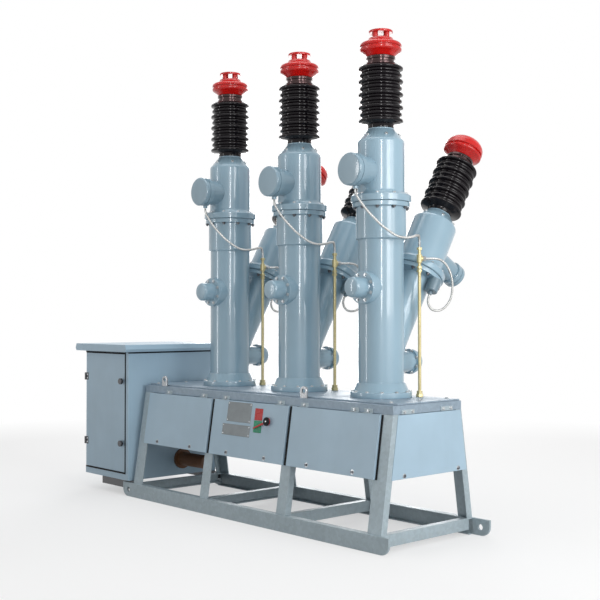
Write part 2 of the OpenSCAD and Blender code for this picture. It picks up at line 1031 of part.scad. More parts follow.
module cabinet_rear_wall() {
    color(panel_paint)
        translate([cab_left + cabinet_t, cab_back - cabinet_t, cabinet_z])
            cube([cabinet_w - 2 * cabinet_t, cabinet_t, cabinet_h]);
}

module cabinet_floor() {
    color(panel_paint)
        translate([cab_left + cabinet_t, wall_front, cabinet_z])
            cube([cabinet_w - 2 * cabinet_t, cab_back - cabinet_t - wall_front, cabinet_t]);
}

// Hood with sloping ends
module cabinet_roof() {
    w = cabinet_w + 2 * roof_over;
    d = cabinet_d + 2 * roof_over;
    color(panel_paint)
        translate([cab_left - roof_over, cab_back + roof_over, cab_top])
            rotate([90, 0, 0])
                linear_extrude(d)
                    polygon([[roof_slope / 2, 0], [w - roof_slope / 2, 0], [w, roof_drop],
                        [w - roof_slope / 2, roof_t], [roof_slope / 2, roof_t], [0, roof_drop]]);
}

module cabinet_front_frame() {
    color(panel_paint) {
        translate([cab_right - cabinet_t - stile_w, cab_front, cabinet_z + sill_h + seat])
            cube([stile_w, door_t, cabinet_h - sill_h - seat]);
        translate([cab_left, cab_front, cabinet_z])
            cube([cabinet_w - cabinet_t, door_t + door_gap, sill_h]);
    }
}

// Heights of the joint between each hinge's lower and upper barrel
function hinge_z(s) = door_low + s * (door_high - door_low);

module cabinet_hinges() {
    color(dark_steel)
        for (s = hinge_shares)
            translate([hinge_x, hinge_y, hinge_z(s) - hinge_h]) {
                cylinder(d = hinge_d, h = hinge_h);
                cube([cab_left - hinge_x, hinge_leaf_w, hinge_h]);
            }
}

module cabinet_door() {
    color(panel_paint) {
        translate([door_left, cab_front, door_low])
            cube([door_right - door_left, door_t, door_high - door_low]);
        for (s = hinge_shares)
            translate([hinge_x, hinge_y, hinge_z(s) + seat]) {
                cylinder(d = hinge_d, h = hinge_h);
                translate([0, -hinge_d / 2, 0])
                    cube([door_leaf_w, hinge_leaf_t, hinge_h]);
            }
    }
}

module door_knobs() {
    color(dark_steel)
        for (s = knob_shares)
            translate([door_right - knob_inset, cab_front, hinge_z(s)])
                rotate([90, 0, 0]) {
                    cylinder(d = knob_stem_d, h = knob_stem_l);
                    translate([0, 0, knob_stem_l])
                        cylinder(d = knob_d, h = knob_t);
                }
}

module cabinet_bearers() {
    reach = cabinet_gap + cabinet_w * bearer_reach_share;
    color(dark_steel)
        both_sides()
            translate([-frame_l / 2 - reach, bearer_y, cabinet_z - bearer_h])
                cube([reach, bearer_w, bearer_h]);
}

module drive_coupling() {
    color(coupling_brown)
        translate([cab_right, pole_y, coupling_z])
            rotate([0, 90, 0]) {
                cylinder(d = coupling_d, h = coupling_l);
                cylinder(d = coupling_flange_d, h = coupling_flange_t);
            }
}

skid_rails();
skid_noses();
cross_rails();
front_legs();
rear_legs();
top_rails();
end_rails();
top_plate();
lifting_eyes();
front_panels();
rear_panels();
end_panels();
tank_bases();
tank_left();
tank_middle();
tank_right();
tank_necks();
arm_left();
arm_middle();
arm_right();
handhole_covers();
rear_end_covers();
front_housings();
rear_housings();
front_terminal_boxes();
rear_terminal_boxes();
front_bushings();
rear_bushings();
cap_collars();
front_terminal_caps();
rear_terminal_caps();
terminal_posts();
terminal_pads();
junction_stubs();
conduit_pipes();
front_hose_left();
front_hose_middle();
front_hose_right();
rear_hose_left();
rear_hose_middle();
rear_hose_right();
closed_sign();
open_sign();
position_pointer();
cabinet_side_walls();
cabinet_rear_wall();
cabinet_floor();
cabinet_roof();
cabinet_front_frame();
cabinet_hinges();
cabinet_door();
door_knobs();
cabinet_bearers();
drive_coupling();
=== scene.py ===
import json
import math

import bpy
import numpy as np
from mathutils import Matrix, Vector


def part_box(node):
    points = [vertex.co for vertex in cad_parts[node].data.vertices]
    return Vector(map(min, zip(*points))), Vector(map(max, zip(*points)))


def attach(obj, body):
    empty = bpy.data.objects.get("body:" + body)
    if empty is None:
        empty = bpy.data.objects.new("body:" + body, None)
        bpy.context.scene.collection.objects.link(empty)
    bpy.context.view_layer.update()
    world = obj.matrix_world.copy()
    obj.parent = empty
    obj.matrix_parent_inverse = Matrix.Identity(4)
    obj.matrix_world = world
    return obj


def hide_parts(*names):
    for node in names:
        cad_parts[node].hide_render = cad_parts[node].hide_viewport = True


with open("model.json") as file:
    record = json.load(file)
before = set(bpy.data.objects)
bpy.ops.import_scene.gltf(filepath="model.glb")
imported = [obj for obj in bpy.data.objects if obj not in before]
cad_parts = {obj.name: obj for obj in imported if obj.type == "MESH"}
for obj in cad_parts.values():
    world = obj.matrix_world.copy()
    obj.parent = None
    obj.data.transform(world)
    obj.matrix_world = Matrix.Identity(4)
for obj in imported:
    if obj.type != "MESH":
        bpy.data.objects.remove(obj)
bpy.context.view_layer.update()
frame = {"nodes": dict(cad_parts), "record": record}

bl_info = {
    "name": "Gas insulated breaker",
    "version": (1, 1, 0),
    "blender": (4, 5, 0),
    "location": "View3D > Sidebar > Breaker",
    "description": "Dresses a three-pole outdoor breaker: tanks, bushings, wiring, trim and finishes",
    "category": "Object",
}

BODY = "breaker"
NODES = frame["nodes"]
MOUNTS = {m["name"]: m for m in frame["record"]["mounts"]}
JOINTS = {j["name"]: j for j in frame["record"]["behaviour"]["joints"]}
POLE_NAMES = ("left", "middle", "right")
POLES = range(len(POLE_NAMES))
SQUARE = np.eye(3)
X_AXIS, Y_AXIS, UP = SQUARE
FRONT, REAR, LEVEL = -Y_AXIS, Y_AXIS, X_AXIS + Y_AXIS
# Upward share from which a direction counts as upright
STEEP = 0.9


def middle(node, axis):
    """Middle of a node's box along one axis."""
    low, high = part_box(node)
    return (low[axis] + high[axis]) / 2


# Places read from the frame, in metres
POLE_X = [MOUNTS[f"front_terminal_{name}"]["pos_m"][0] for name in POLE_NAMES]
POLE_Y = MOUNTS["front_terminal_middle"]["pos_m"][1]
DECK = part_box("top_plate")[1].z
TANK_R = (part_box("tank_middle")[1].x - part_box("tank_middle")[0].x) / 2
COLLAR_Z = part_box("tank_bases")[1].z
NECK_Z, TANK_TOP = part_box("tank_necks")[0].z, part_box("tank_necks")[1].z
HANDHOLE_Z = middle("handhole_covers", 2)
PAD_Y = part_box("handhole_covers")[1].y
JUNCTION_Z = middle("rear_end_covers", 2)
STUB_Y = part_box("rear_end_covers")[0].y
ARM = np.array(MOUNTS["rear_terminal_middle"]["axis"], float)
ARM_BACK = np.array([0.0, ARM[2], -ARM[1]])
FOOT_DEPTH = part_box("skid_rails")[1].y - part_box("skid_rails")[0].y
RAIL_Y, RAIL_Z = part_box("top_rails")[1].y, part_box("top_rails")[0].z
END_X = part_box("end_rails")[1].x
PANEL_LOW, PANEL_TOP = (v.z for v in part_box("front_panels"))
PIVOT = np.array(JOINTS["pointer_turn"]["pos_m"], float)
PIVOT_IN = np.array(JOINTS["pointer_turn"]["axis"], float)
SLANT = math.atan2(-PIVOT_IN[2], PIVOT_IN[1])

# Sizes that the part's own source gives, in metres
BASE_R, BASE_T = 0.190, 0.034
NECK_R, FLANGE_R, FLANGE_T = 0.1535, 0.176, 0.030
HANDHOLE_R, COVER_T, CAP_R, CAP_TIP = 0.100, 0.015, 0.063, 0.115
ARM_L, ARM_LOW_R, ARM_TOP_R = 0.640, 0.106, 0.111
STUB_R, STUB_FLANGE_R, STUB_FLANGE_T = 0.0656, 0.080, 0.020
DOME_R, DOME_RIM, DOME_L = 0.0736, 0.010, 0.070
HOUSING_R, FOOT_R, FOOT_T, HOUSING_H = 0.145, 0.185, 0.045, 0.457
SHOULDER_H, MOUTH_R, FILLET_R = 0.365, 0.082, 0.030
BOX_R, BOX_L, BOX_H = 0.100, 0.285, 0.184
REAR_BOX_R, REAR_BOX_L, REAR_BOX_H = 0.078, 0.355, 0.190
BUSHING_H, COLLAR_R, COLLAR_H = 0.392, 0.090, 0.052
CAP_FOOT = HOUSING_H + BUSHING_H + COLLAR_H
PANEL_DEPTH, JOINT_X, JOINT_GAP, CORNER_X = 0.018, 0.393, 0.034, 1.155
DOOR_GAP = 0.006

# Small distances that the outlines share, in metres: the least step between two rings, the gap under trim, a
# plain step, the radius at which a dome closes; then the roundings of large, middling and small edges
HAIR, SEAT, STEP, TIP_R = 0.0005, 0.0003, 0.001, 0.001
SOFT, FINE, KEEN = 0.003, 0.002, 0.001
# How far a pole flange's rim and face stay under the joint, where the gasket shows, and its edge's width
RIM_GAP, FACE_GAP, FLANGE_EDGE = 0.002, 0.0015, 0.004
# Sides of large, middling and small round pieces and of nuts
ROUND, MEDIUM, SMALL, HEX = 96, 64, 24, 6
# Points on a rounded corner, on a lid and on each stretch of a route, and a corner's largest share of a side
CORNER_STEPS, LID_STEPS, ROUTE_STEPS, CORNER_SHARE = 5, 8, 24, 0.45
# Angles in degrees past which an edge stays sharp, on turned pieces, fasteners and flat strips
SHARP, BOLT_SHARP, FLAT_SHARP = 35, 30, 20

# Routes of the two hoses of a pole, from its axis at ground level
FRONT_ROUTE = np.array([
    (0, -225, 2089.7), (0, -225, 2077), (4, -225.3, 2062.5), (20, -225, 2038), (48, -220.5, 2001),
    (84, -211, 1955), (121, -193, 1911), (155, -168, 1868), (186, -134, 1831), (206, -104, 1808),
    (220, -72, 1795), (230, -26, 1791), (230, 26, 1798), (219, 77, 1809), (192, 131.5, 1814),
    (179.7, 148.1, 1809.9), (169.4, 162.2, 1798.2), (162.4, 171.7, 1780.7), (160, 175, 1760),
    (160, 175, 1745.3)]) / 1000
REAR_ROUTE = np.array([
    (180, 210, 1676), (195, 236, 1676), (206, 275, 1677), (212, 321, 1669), (214, 368, 1640),
    (213, 406, 1595), (211, 428, 1543), (209, 432, 1491), (205, 424, 1440), (198, 404, 1401),
    (189, 375, 1372), (180, 345, 1358), (172, 314.2, 1355.3), (165, 286.2, 1362.8), (160, 265.7, 1383.3),
    (157, 258.2, 1411.3), (156, 265.7, 1439.3), (156, 275.5, 1456.2)]) / 1000


def linear(rgb):
    """Turns a colour written as 0 to 255 display values into linear light, by the usual display curve."""
    c = np.asarray(rgb, float) / 255
    return tuple(np.where(c <= 0.04045, c / 12.92, ((c + 0.055) / 1.055) ** 2.4)) + (1.0,)


def tone(colour, factor):
    """A colour made lighter or darker."""
    return tuple(min(1.0, c * factor) for c in colour[:3]) + (1.0,)


# Places: an origin and three unit rows, the third along the axis or outwards

def unit(v):
    """Vectors of length one along the last axis."""
    v = np.asarray(v, float)
    return v / np.linalg.norm(v, axis=-1, keepdims=True)


def facing(direction):
    """Three unit rows for each direction, the third along it; the first is level unless the direction is
    nearly upright."""
    z = unit(direction)
    level = np.abs(z[..., 2:]) < STEEP
    x = unit(np.cross(np.where(level, UP, X_AXIS), z))
    return np.stack([x, np.cross(z, x), z], -2)


def upright(i, z):
    """Place on one pole's axis at a height."""
    return np.array([POLE_X[i], POLE_Y, z]), SQUARE


def across(i, z, way, y=POLE_Y):
    """Place in one pole's middle plane at a height, facing the front or the rear."""
    return np.array([POLE_X[i], y, z]), facing(way)


def on_arm(i, s):
    """Place on one tilted arm's axis, at a distance from where it meets the tank's axis."""
    return np.array([POLE_X[i], POLE_Y, JUNCTION_Z]) + s * ARM, np.stack([X_AXIS, ARM_BACK, ARM])


def on_flanges(i, height=0.0):
    """Two places of one pole at a height above its flanges: upright, and on the tilted arm."""
    return upright(i, TANK_TOP + height), on_arm(i, ARM_L + height)


def on_slope(x, s, proud, side=-1):
    """Place on the sloping front (-1) or rear (1) face, with rows sideways, up the slope and outwards."""
    up = np.array([0.0, -side * math.sin(SLANT), math.cos(SLANT)])
    out = np.array([0.0, side * math.cos(SLANT), math.sin(SLANT)])
    foot = np.array([x, side * FOOT_DEPTH / 2, 0.0])
    return foot + s * up + proud * out, np.stack([np.cross(up, out), up, out])


def on_wall(where, out):
    """Place on an upright face, with rows sideways, up and outwards."""
    return np.asarray(where, float), np.stack([np.cross(UP, out), UP, np.asarray(out, float)])


def circle_places(place, radius, height, count, phase=0.5):
    """Points on a bolt circle about a place's axis, with the axis as their normal."""
    turn = 2 * np.pi * (np.arange(count) + phase) / count
    local = np.stack([radius * np.cos(turn), radius * np.sin(turn), np.full(count, height)], 1)
    return local @ place[1] + place[0], np.repeat(place[1][2:3], count, 0)


def gathered(groups):
    """One pair of arrays from several pairs of places and normals."""
    return [np.concatenate(a) for a in zip(*groups)]


# Outlines: rows of (radius, height)

def rounded(points, radius):
    """Rounds the inner corners of an outline: each becomes a quadratic curve that leaves its two sides at
    the given distance, or at a share of the shorter side."""
    p = np.asarray(points, float)
    before, corner, after = p[:-2], p[1:-1], p[2:]
    shorter = np.minimum(np.linalg.norm(corner - before, axis=1), np.linalg.norm(after - corner, axis=1))
    cut = np.minimum(radius, CORNER_SHARE * shorter)[:, None]
    a = corner + unit(before - corner) * cut
    b = corner + unit(after - corner) * cut
    t = np.linspace(0, 1, CORNER_STEPS)[None, :, None]
    curve = (1 - t) ** 2 * a[:, None] + 2 * t * (1 - t) * corner[:, None] + t ** 2 * b[:, None]
    return np.concatenate([p[:1], curve.reshape(-1, 2), p[-1:]])


def flanged(start, r, length):
    """Outline of a tube of radius r that ends in a pole's flange."""
    under = length - FLANGE_T
    return rounded([*start, (r, under - STEP), (FLANGE_R, under), (FLANGE_R, length - RIM_GAP),
                    (FLANGE_R - FLANGE_EDGE, length - FACE_GAP)], SOFT)


def arc(centre, radius, start, end, steps=8):
    """Points of an arc between two angles in degrees."""
    turn = np.radians(np.linspace(start, end, steps))
    return np.asarray(centre) + radius * np.stack([np.cos(turn), np.sin(turn)], 1)


def lid(r, tip, edge_r, rise, turn):
    """Outline of a round lid: an arc about its edge through an angle, then a slight dome from the arc's
    centre at radius R to the middle, of height edge + rise (1 - (r / R)^2)."""
    inner, edge = r - edge_r, tip - rise
    radii = np.linspace(inner, TIP_R, LID_STEPS)
    dome = np.stack([radii, edge + rise * (1 - (radii / inner) ** 2)], 1)
    return np.concatenate([arc((inner, edge - edge_r), edge_r, 0, turn), dome])


# Surfaces: each is its points, the corners of its faces in one list, and the corner count of each face

def surface(points, quads, caps=()):
    """Points with quads and a few larger flat faces."""
    corners = np.concatenate([quads.ravel(), *caps])
    return points, corners, np.array([4] * len(quads) + [len(c) for c in caps])


def ring_quads(n, m, closed=False):
    """Quads of n rings with m points each, wound so that they face away from the axis."""
    i, k = np.meshgrid(np.arange(n if closed else n - 1), np.arange(m), indexing="ij")
    j, q = (i + 1) % n, (k + 1) % m
    return np.stack([i * m + k, i * m + q, j * m + q, j * m + k], -1).reshape(-1, 4)


def ring_caps(n, m):
    """Flat faces over the first and the last of n rings."""
    return np.arange(m)[::-1], np.arange((n - 1) * m, n * m)


def ring_points(profile, sides):
    """Point (i, k) of a turned profile has radius r_i and height z_i, at the turn 2 pi k / sides."""
    profile = np.asarray(profile, float)
    turn = 2 * np.pi * np.arange(sides) / sides
    flat = profile[:, None, :1] * np.stack([np.cos(turn), np.sin(turn)], 1)
    high = np.broadcast_to(profile[:, None, 1:], (len(profile), sides, 1))
    return np.concatenate([flat, high], 2).reshape(-1, 3)


def revolve(profile, place, sides=ROUND):
    """Carries a profile of (radius, height) round a place's axis. A flat face closes each end."""
    n, points = len(profile), ring_points(profile, sides) @ place[1] + place[0]
    return surface(points, ring_quads(n, sides), ring_caps(n, sides))


def smooth_path(points, step):
    """Catmull-Rom curve through points, then spaced evenly by its length."""
    p = np.asarray(points, float)
    q = np.concatenate([2 * p[:1] - p[1:2], p, 2 * p[-1:] - p[-2:-1]])
    t = np.linspace(0, 1, ROUTE_STEPS, endpoint=False)[None, :, None]
    a, b, c, d = (q[k:len(q) - 3 + k, None] for k in range(4))
    square, cube = 2 * a - 5 * b + 4 * c - d, 3 * b - a - 3 * c + d
    curve = 0.5 * (2 * b + (c - a) * t + square * t ** 2 + cube * t ** 3)
    curve = np.concatenate([curve.reshape(-1, 3), p[-1:]])
    run = np.concatenate([[0], np.cumsum(np.linalg.norm(np.diff(curve, axis=0), axis=1))])
    even = np.linspace(0, run[-1], max(2, int(round(run[-1] / step)) + 1))
    return np.stack([np.interp(even, run, curve[:, k]) for k in range(3)], 1), run[-1]


def sweep(path, radius, reference, sides, closed=False):
    """Carries a circle of radius r_i along a path. Each ring's first axis stands square to the path and to a
    reference direction that the path never follows. Open ends are closed by a flat face."""
    path = np.asarray(path, float)
    step = np.roll(path, -1, 0) - np.roll(path, 1, 0) if closed else np.gradient(path, axis=0)
    along = unit(step)
    side = unit(np.cross(along, reference))
    other = np.cross(along, side)
    turn = 2 * np.pi * np.arange(sides)[None, :, None] / sides
    r = np.broadcast_to(np.asarray(radius, float), (len(path),))[:, None, None]
    rings = path[:, None] + r * (side[:, None] * np.cos(turn) + other[:, None] * np.sin(turn))
    n = len(path)
    return surface(rings.reshape(-1, 3), ring_quads(n, sides, closed), () if closed else ring_caps(n, sides))


def slab(place, width, height, thick, edge):
    """Flat plate on a face with a small chamfer: three rectangle rings, the last drawn in by the chamfer."""
    w, h = width / 2, height / 2
    shape = np.array([(w, -h), (w, h), (-w, h), (-w, -h)])
    inner = shape - np.sign(shape) * edge
    levels = (shape, 0), (shape, thick - edge), (inner, thick)
    rings = np.concatenate([np.column_stack([ring, np.full(4, z)]) for ring, z in levels])
    return surface(rings @ place[1] + place[0], ring_quads(3, 4), ring_caps(3, 4))


def join(parts):
    """Puts several surfaces into one."""
    points, corners, sizes = zip(*parts)
    starts = np.cumsum([0] + [len(p) for p in points[:-1]])
    moved = [c + s for c, s in zip(corners, starts)]
    return np.concatenate(points), np.concatenate(moved), np.concatenate(sizes)


def paired(outline, height=0.0):
    """Two surfaces with one outline at a height above the flanges: on the uprights, and on the arms."""
    groups = zip(*(on_flanges(i, height) for i in POLES))
    return [join([revolve(outline, place) for place in places]) for places in groups]


def scatter(template, places, normals, size):
    """Copies of one small surface, each with its third axis along its own normal."""
    points, corners, sizes = template
    moved = np.einsum("vk,nkj->nvj", points * size, facing(normals)) + places[:, None]
    shift = np.arange(len(places))[:, None] * len(points)
    return moved.reshape(-1, 3), (corners + shift).ravel(), np.tile(sizes, len(places))


# Fasteners as shares of their radius
FLAT = (np.zeros(3), SQUARE)
HEX_BOLT = join([
    revolve([(1.10, 0), (1.10, 0.14), (1.04, 0.18)], FLAT, 14),
    revolve([(0.92, 0.16), (0.92, 0.72), (0.78, 0.82)], FLAT, HEX)])
HEAD = revolve([(0.92, 0.16), (0.92, 0.66), (0.70, 0.80)], FLAT, HEX)
WASHER = revolve([(1.38, 0), (1.38, 0.12), (1.30, 0.18)], FLAT, 18)
STUD_NUT = join([HEX_BOLT, revolve([(0.48, 0.8), (0.48, 1.25), (0.40, 1.32)], FLAT, 10)])
ROUND_SCREW = revolve([(1.0, 0), (1.0, 0.25), (0.82, 0.52), (0.45, 0.66)], FLAT, 14)


# Finishes

class Nodes:
    """Nodes of a material or of the world, and the calls that add and link them."""

    def __init__(self, owner):
        owner.use_nodes = True
        self.owner, self.tree = owner, owner.node_tree

    def feed(self, node, sockets):
        """Links or sets a node's inputs."""
        for key, value in sockets.items():
            if isinstance(value, bpy.types.NodeSocket):
                self.tree.links.new(value, node.inputs[key])
            else:
                node.inputs[key].default_value = value

    def add(self, kind, sockets, **settings):
        """Outputs of a new node with its settings and inputs."""
        node = self.tree.nodes.new(kind)
        for key, value in settings.items():
            setattr(node, key, value)
        self.feed(node, sockets)
        return node.outputs

    def ramp(self, value, low, high, out_low=0.0, out_high=1.0):
        """Maps a value from one range to another and clamps it."""
        sockets = {"Value": value, "From Min": low, "From Max": high, "To Min": out_low, "To Max": out_high}
        return self.add("ShaderNodeMapRange", sockets)["Result"]

    def maths(self, operation, a, b):
        """Result of one sum on two values."""
        return self.add("ShaderNodeMath", {0: a, 1: b}, operation=operation)[0]

    def mix(self, share, a, b):
        """Mix of two colours."""
        return self.add("ShaderNodeMix", {0: share, 6: a, 7: b}, data_type="RGBA")[2]

    def seen_rays(self):
        """One for rays from the camera, in reflections and through glass, else zero."""
        rays = self.add("ShaderNodeLightPath", {})
        seen = self.maths("MAXIMUM", rays["Is Camera Ray"], rays["Is Glossy Ray"])
        return self.maths("MAXIMUM", seen, rays["Is Transmission Ray"])


class Finish(Nodes):
    """Nodes of one new material on object coordinates."""

    GRAIN_MIX = 0.55

    def __init__(self, name):
        super().__init__(bpy.data.materials.new(name))
        self.shader = self.tree.nodes["Principled BSDF"]
        self.coords = self.add("ShaderNodeTexCoord", {})["Object"]

    def noise(self, scale, detail=3.0, stretch=None):
        """Noise value of a scale, stretched along an axis where asked."""
        coords = self.coords
        if stretch:
            coords = self.add("ShaderNodeMapping", {"Vector": coords, "Scale": stretch})["Vector"]
        sockets = {"Vector": coords, "Scale": scale, "Detail": detail, "Roughness": self.GRAIN_MIX}
        return self.add("ShaderNodeTexNoise", sockets)["Fac"]

    def done(self, colour, rough, bump, constants):
        """Material with its colour, roughness, bump of (height, strength, distance) and plain values."""
        height, strength, distance = bump
        sockets = {"Height": height, "Strength": strength, "Distance": distance}
        normal = self.add("ShaderNodeBump", sockets)["Normal"]
        self.feed(self.shader, {"Base Color": colour, "Roughness": rough, "Normal": normal, **constants})
        return self.owner


def paint_finish(name, colour, rough=0.34, coat=0.6):
    """Gloss paint: broad tone drift, faint runs of dust down the sides, orange peel, clear coat."""
    f = Finish(name)
    drift = f.ramp(f.noise(2.3), 0.35, 0.65)
    base = f.mix(drift, tone(colour, 0.95), tone(colour, 1.05))
    runs = f.ramp(f.noise(9.0, 4.0, (1.0, 1.0, 0.08)), 0.52, 0.78, 0.0, 0.22)
    shine = f.ramp(f.noise(14.0), 0.3, 0.7, rough - 0.05, rough + 0.08)
    peel = f.noise(420.0, 1.0), 0.04, 0.0004
    return f.done(f.mix(runs, base, tone(colour, 0.82)), shine, peel,
                  {"Coat Weight": coat, "Coat Roughness": 0.07})


def zinc_finish(name, colour):
    """Hot-dip zinc: spangle cells, cloudy grey patches, a dull roughness that follows the clouds."""
    f = Finish(name)
    cells = f.add("ShaderNodeTexVoronoi", {"Vector": f.coords, "Scale": 55.0, "Randomness": 1.0})["Color"]
    spangle = f.add("ShaderNodeSeparateColor", {"Color": cells})["Red"]
    cloud = f.ramp(f.noise(3.5, 5.0), 0.3, 0.7)
    base = f.mix(spangle, tone(colour, 0.92), tone(colour, 1.07))
    patch = f.ramp(cloud, 0.45, 1.0, 0.0, 0.40)
    pits = f.noise(160.0, 2.0), 0.10, 0.0008
    return f.done(f.mix(patch, base, tone(colour, 0.80)), f.ramp(cloud, 0.0, 1.0, 0.40, 0.58), pits,
                  {"Metallic": 0.15})


def shed_finish(name, colour):
    """Dark insulator: brown-black with a thin gloss and light dust."""
    f = Finish(name)
    dust = f.ramp(f.noise(30.0, 5.0), 0.50, 0.80, 0.0, 0.35)
    shine = f.ramp(f.noise(12.0), 0.3, 0.7, 0.08, 0.16)
    grain = f.noise(240.0, 1.0), 0.04, 0.0005
    return f.done(f.mix(dust, colour, tone(colour, 1.9)), shine, grain, {"Specular IOR Level": 0.22})


def rubber_finish(name, colour):
    """Matt black rubber with a fine grain."""
    f = Finish(name)
    grain = f.noise(260.0, 2.0)
    base = f.mix(grain, tone(colour, 0.8), tone(colour, 1.3))
    shine = f.ramp(grain, 0.3, 0.7, 0.62, 0.80)
    return f.done(base, shine, (grain, 0.10, 0.0005), {"Specular IOR Level": 0.15})


def gloss_finish(name, colour):
    """Gloss coloured coat with slight tone drift and fine scuffs."""
    f = Finish(name)
    drift = f.ramp(f.noise(6.0), 0.35, 0.65)
    scuff = f.ramp(f.noise(40.0, 4.0), 0.35, 0.7, 0.20, 0.34)
    waves = f.noise(90.0, 1.0), 0.03, 0.0003
    return f.done(f.mix(drift, tone(colour, 0.86), tone(colour, 1.08)), scuff, waves,
                  {"Coat Weight": 0.15, "Specular IOR Level": 0.35})


def metal_finish(name, colour, rough=0.3, metallic=0.85, grain=(1.0, 1.0, 0.05)):
    """Worked metal: fine grain lines, cloudy tarnish."""
    f = Finish(name)
    lines = f.noise(220.0, 2.0, grain)
    tarnish = f.ramp(f.noise(18.0, 4.0), 0.35, 0.7, 0.0, 0.5)
    shine = f.ramp(lines, 0.3, 0.7, rough - 0.08, rough + 0.12)
    return f.done(f.mix(tarnish, tone(colour, 1.05), tone(colour, 0.74)), shine, (lines, 0.06, 0.0004),
                  {"Metallic": metallic})


FINISH = {}


def make_finishes(colours):
    """One material for each finish of the breaker, by the record's slot names and a few more. Paint gives
    its roughness and coat, metal its roughness, how metallic it is and the stretch of its grain."""
    kinds = {
        "galvanised": (zinc_finish, colours.zinc),
        "deck_zinc": (zinc_finish, colours.deck),
        "tank_paint": (paint_finish, colours.tank),
        "panel_paint": (paint_finish, colours.panel, 0.40, 0.2),
        "box_paint": (paint_finish, tone(colours.tank, 0.84)),
        # Tank paint darkened for the junction cylinders: painted shade, for the shadow under the arm flanges
        # where they hang
        "stub_paint": (paint_finish, tone(colours.tank, 0.55), 0.40, 0.2),
        "shed_rubber": (shed_finish, colours.shed),
        "terminal_red": (gloss_finish, colours.terminal),
        "bright_metal": (metal_finish, linear((168, 170, 172))),
        # Dark brown metal of the bushing collars: painted reflection, standing for the dark surroundings
        # that the bright collars mirror
        "collar_metal": (metal_finish, linear((72, 58, 58)), 0.20, 1.0),
        "conduit_brass": (metal_finish, colours.brass, 0.34, 0.35),
        "hose_steel": (metal_finish, linear((184, 184, 182))),
        "sign_red": (gloss_finish, linear((188, 30, 30))),
        "sign_green": (gloss_finish, linear((24, 148, 108))),
        "dark_steel": (paint_finish, linear((38, 40, 47)), 0.45),
        "coupling_brown": (paint_finish, linear((96, 60, 30)), 0.55, 0.1),
        "bolt_zinc": (metal_finish, linear((186, 190, 192)), 0.28),
        # Darker metal of the flange nuts and panel bolt heads: painted shade, for the shadow under the pole
        # flanges and round the bolt heads
        "nut_steel": (metal_finish, linear((96, 98, 102)), 0.34),
        "plate_metal": (metal_finish, linear((106, 111, 113)), 0.36, 0.85, (0.05, 1.0, 1.0)),
        # Black rubber of the gaskets and the knob, also used for the strips that paint the shadow in the
        # gaps of the panels, door and roof
        "seal_black": (rubber_finish, linear((24, 25, 28))),
    }
    FINISH.update({name: make(name, *values) for name, (make, *values) in kinds.items()})


# Pieces

def new_object(name, shape, material):
    """Mesh object from a surface with a material."""
    points, corners, sizes = shape
    mesh = bpy.data.meshes.new(name)
    mesh.vertices.add(len(points))
    mesh.vertices.foreach_set("co", points.ravel())
    mesh.loops.add(len(corners))
    mesh.loops.foreach_set("vertex_index", corners)
    mesh.polygons.add(len(sizes))
    mesh.polygons.foreach_set("loop_start", np.cumsum(sizes) - sizes)
    mesh.update(calc_edges=True)
    if mesh.validate():
        raise RuntimeError(f"{name} has faulty faces")
    mesh.materials.append(material)
    obj = bpy.data.objects.new(name, mesh)
    bpy.context.scene.collection.objects.link(obj)
    return obj


def piece(name, shape, slot, replaces=(), finish=None, sharp=SHARP, body=BODY):
    """Object that is smooth between sharp edges, rides on a body and stands for the nodes it replaces."""
    obj = new_object(name, shape, FINISH[finish or slot])
    obj.data.shade_smooth()
    obj.data.set_sharp_from_angle(angle=math.radians(sharp))
    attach(obj, body)
    if replaces:
        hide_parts(*replaces)
    return obj


def fasteners(name, template, spots, size, finish="bolt_zinc", sharp=BOLT_SHARP, body=BODY):
    """Bolts, nuts or screws at places with normals."""
    piece(name, scatter(template, *spots, size), "bright_metal", finish=finish, sharp=sharp, body=body)


def strips(name, parts, body=BODY):
    """Black strips of painted shadow in gaps, in the black rubber finish."""
    piece(name, join(parts), "shed_rubber", finish="seal_black", sharp=FLAT_SHARP, body=body)


# Settings

def size_prop(name, description, default):
    """Length that a user may change."""
    return bpy.props.FloatProperty(name=name, description=description, default=default, unit="LENGTH")


def colour_prop(name, description, rgb):
    """Colour that a user may change."""
    return bpy.props.FloatVectorProperty(name=name, description=description, size=4, subtype="COLOR",
                                         default=linear(rgb))


class BreakerSizes(bpy.types.PropertyGroup):
    """Sizes of what the scene adds to the part."""
    nut: size_prop("Flange nut", "Radius of a nut under a pole's flange", 0.0125)
    bolt: size_prop("Bolt", "Radius of a base, cover or panel bolt's head", 0.0105)
    weld: size_prop("Weld bead", "Radius of the weld beads", 0.0055)
    hose: size_prop("Hose", "Outside diameter of the flexible hoses", 0.016)
    rib: size_prop("Hose rib", "Distance between the hose's ribs", 0.008)
    plate: size_prop("Plate", "Thickness of the bare plates", 0.0015)
    edge: size_prop("Edge", "Width of the softened edges of folded sheet and angle", 0.002)


class BreakerColours(bpy.types.PropertyGroup):
    """Colours of the breaker's finishes."""
    tank: colour_prop("Tank paint", "Blue-grey paint of the poles", (138, 167, 183))
    panel: colour_prop("Panel paint", "Blue-grey paint of panels and cabinet", (161, 187, 204))
    zinc: colour_prop("Zinc", "Grey of the galvanised frame", (160, 175, 182))
    deck: colour_prop("Deck", "Grey of the top plate", (138, 155, 169))
    shed: colour_prop("Sheds", "Brown-black of the bushings", (17, 13, 17))
    terminal: colour_prop("Terminals", "Red of the terminal caps", (192, 20, 16))
    brass: colour_prop("Conduit", "Yellow of the conduit pipes", (196, 183, 136))


class PieceOperator:
    """What the breaker's operators share."""
    bl_options = {"REGISTER", "UNDO"}

    @property
    def sizes(self):
        """Sizes that the user may have changed."""
        return bpy.context.scene.breaker_sizes


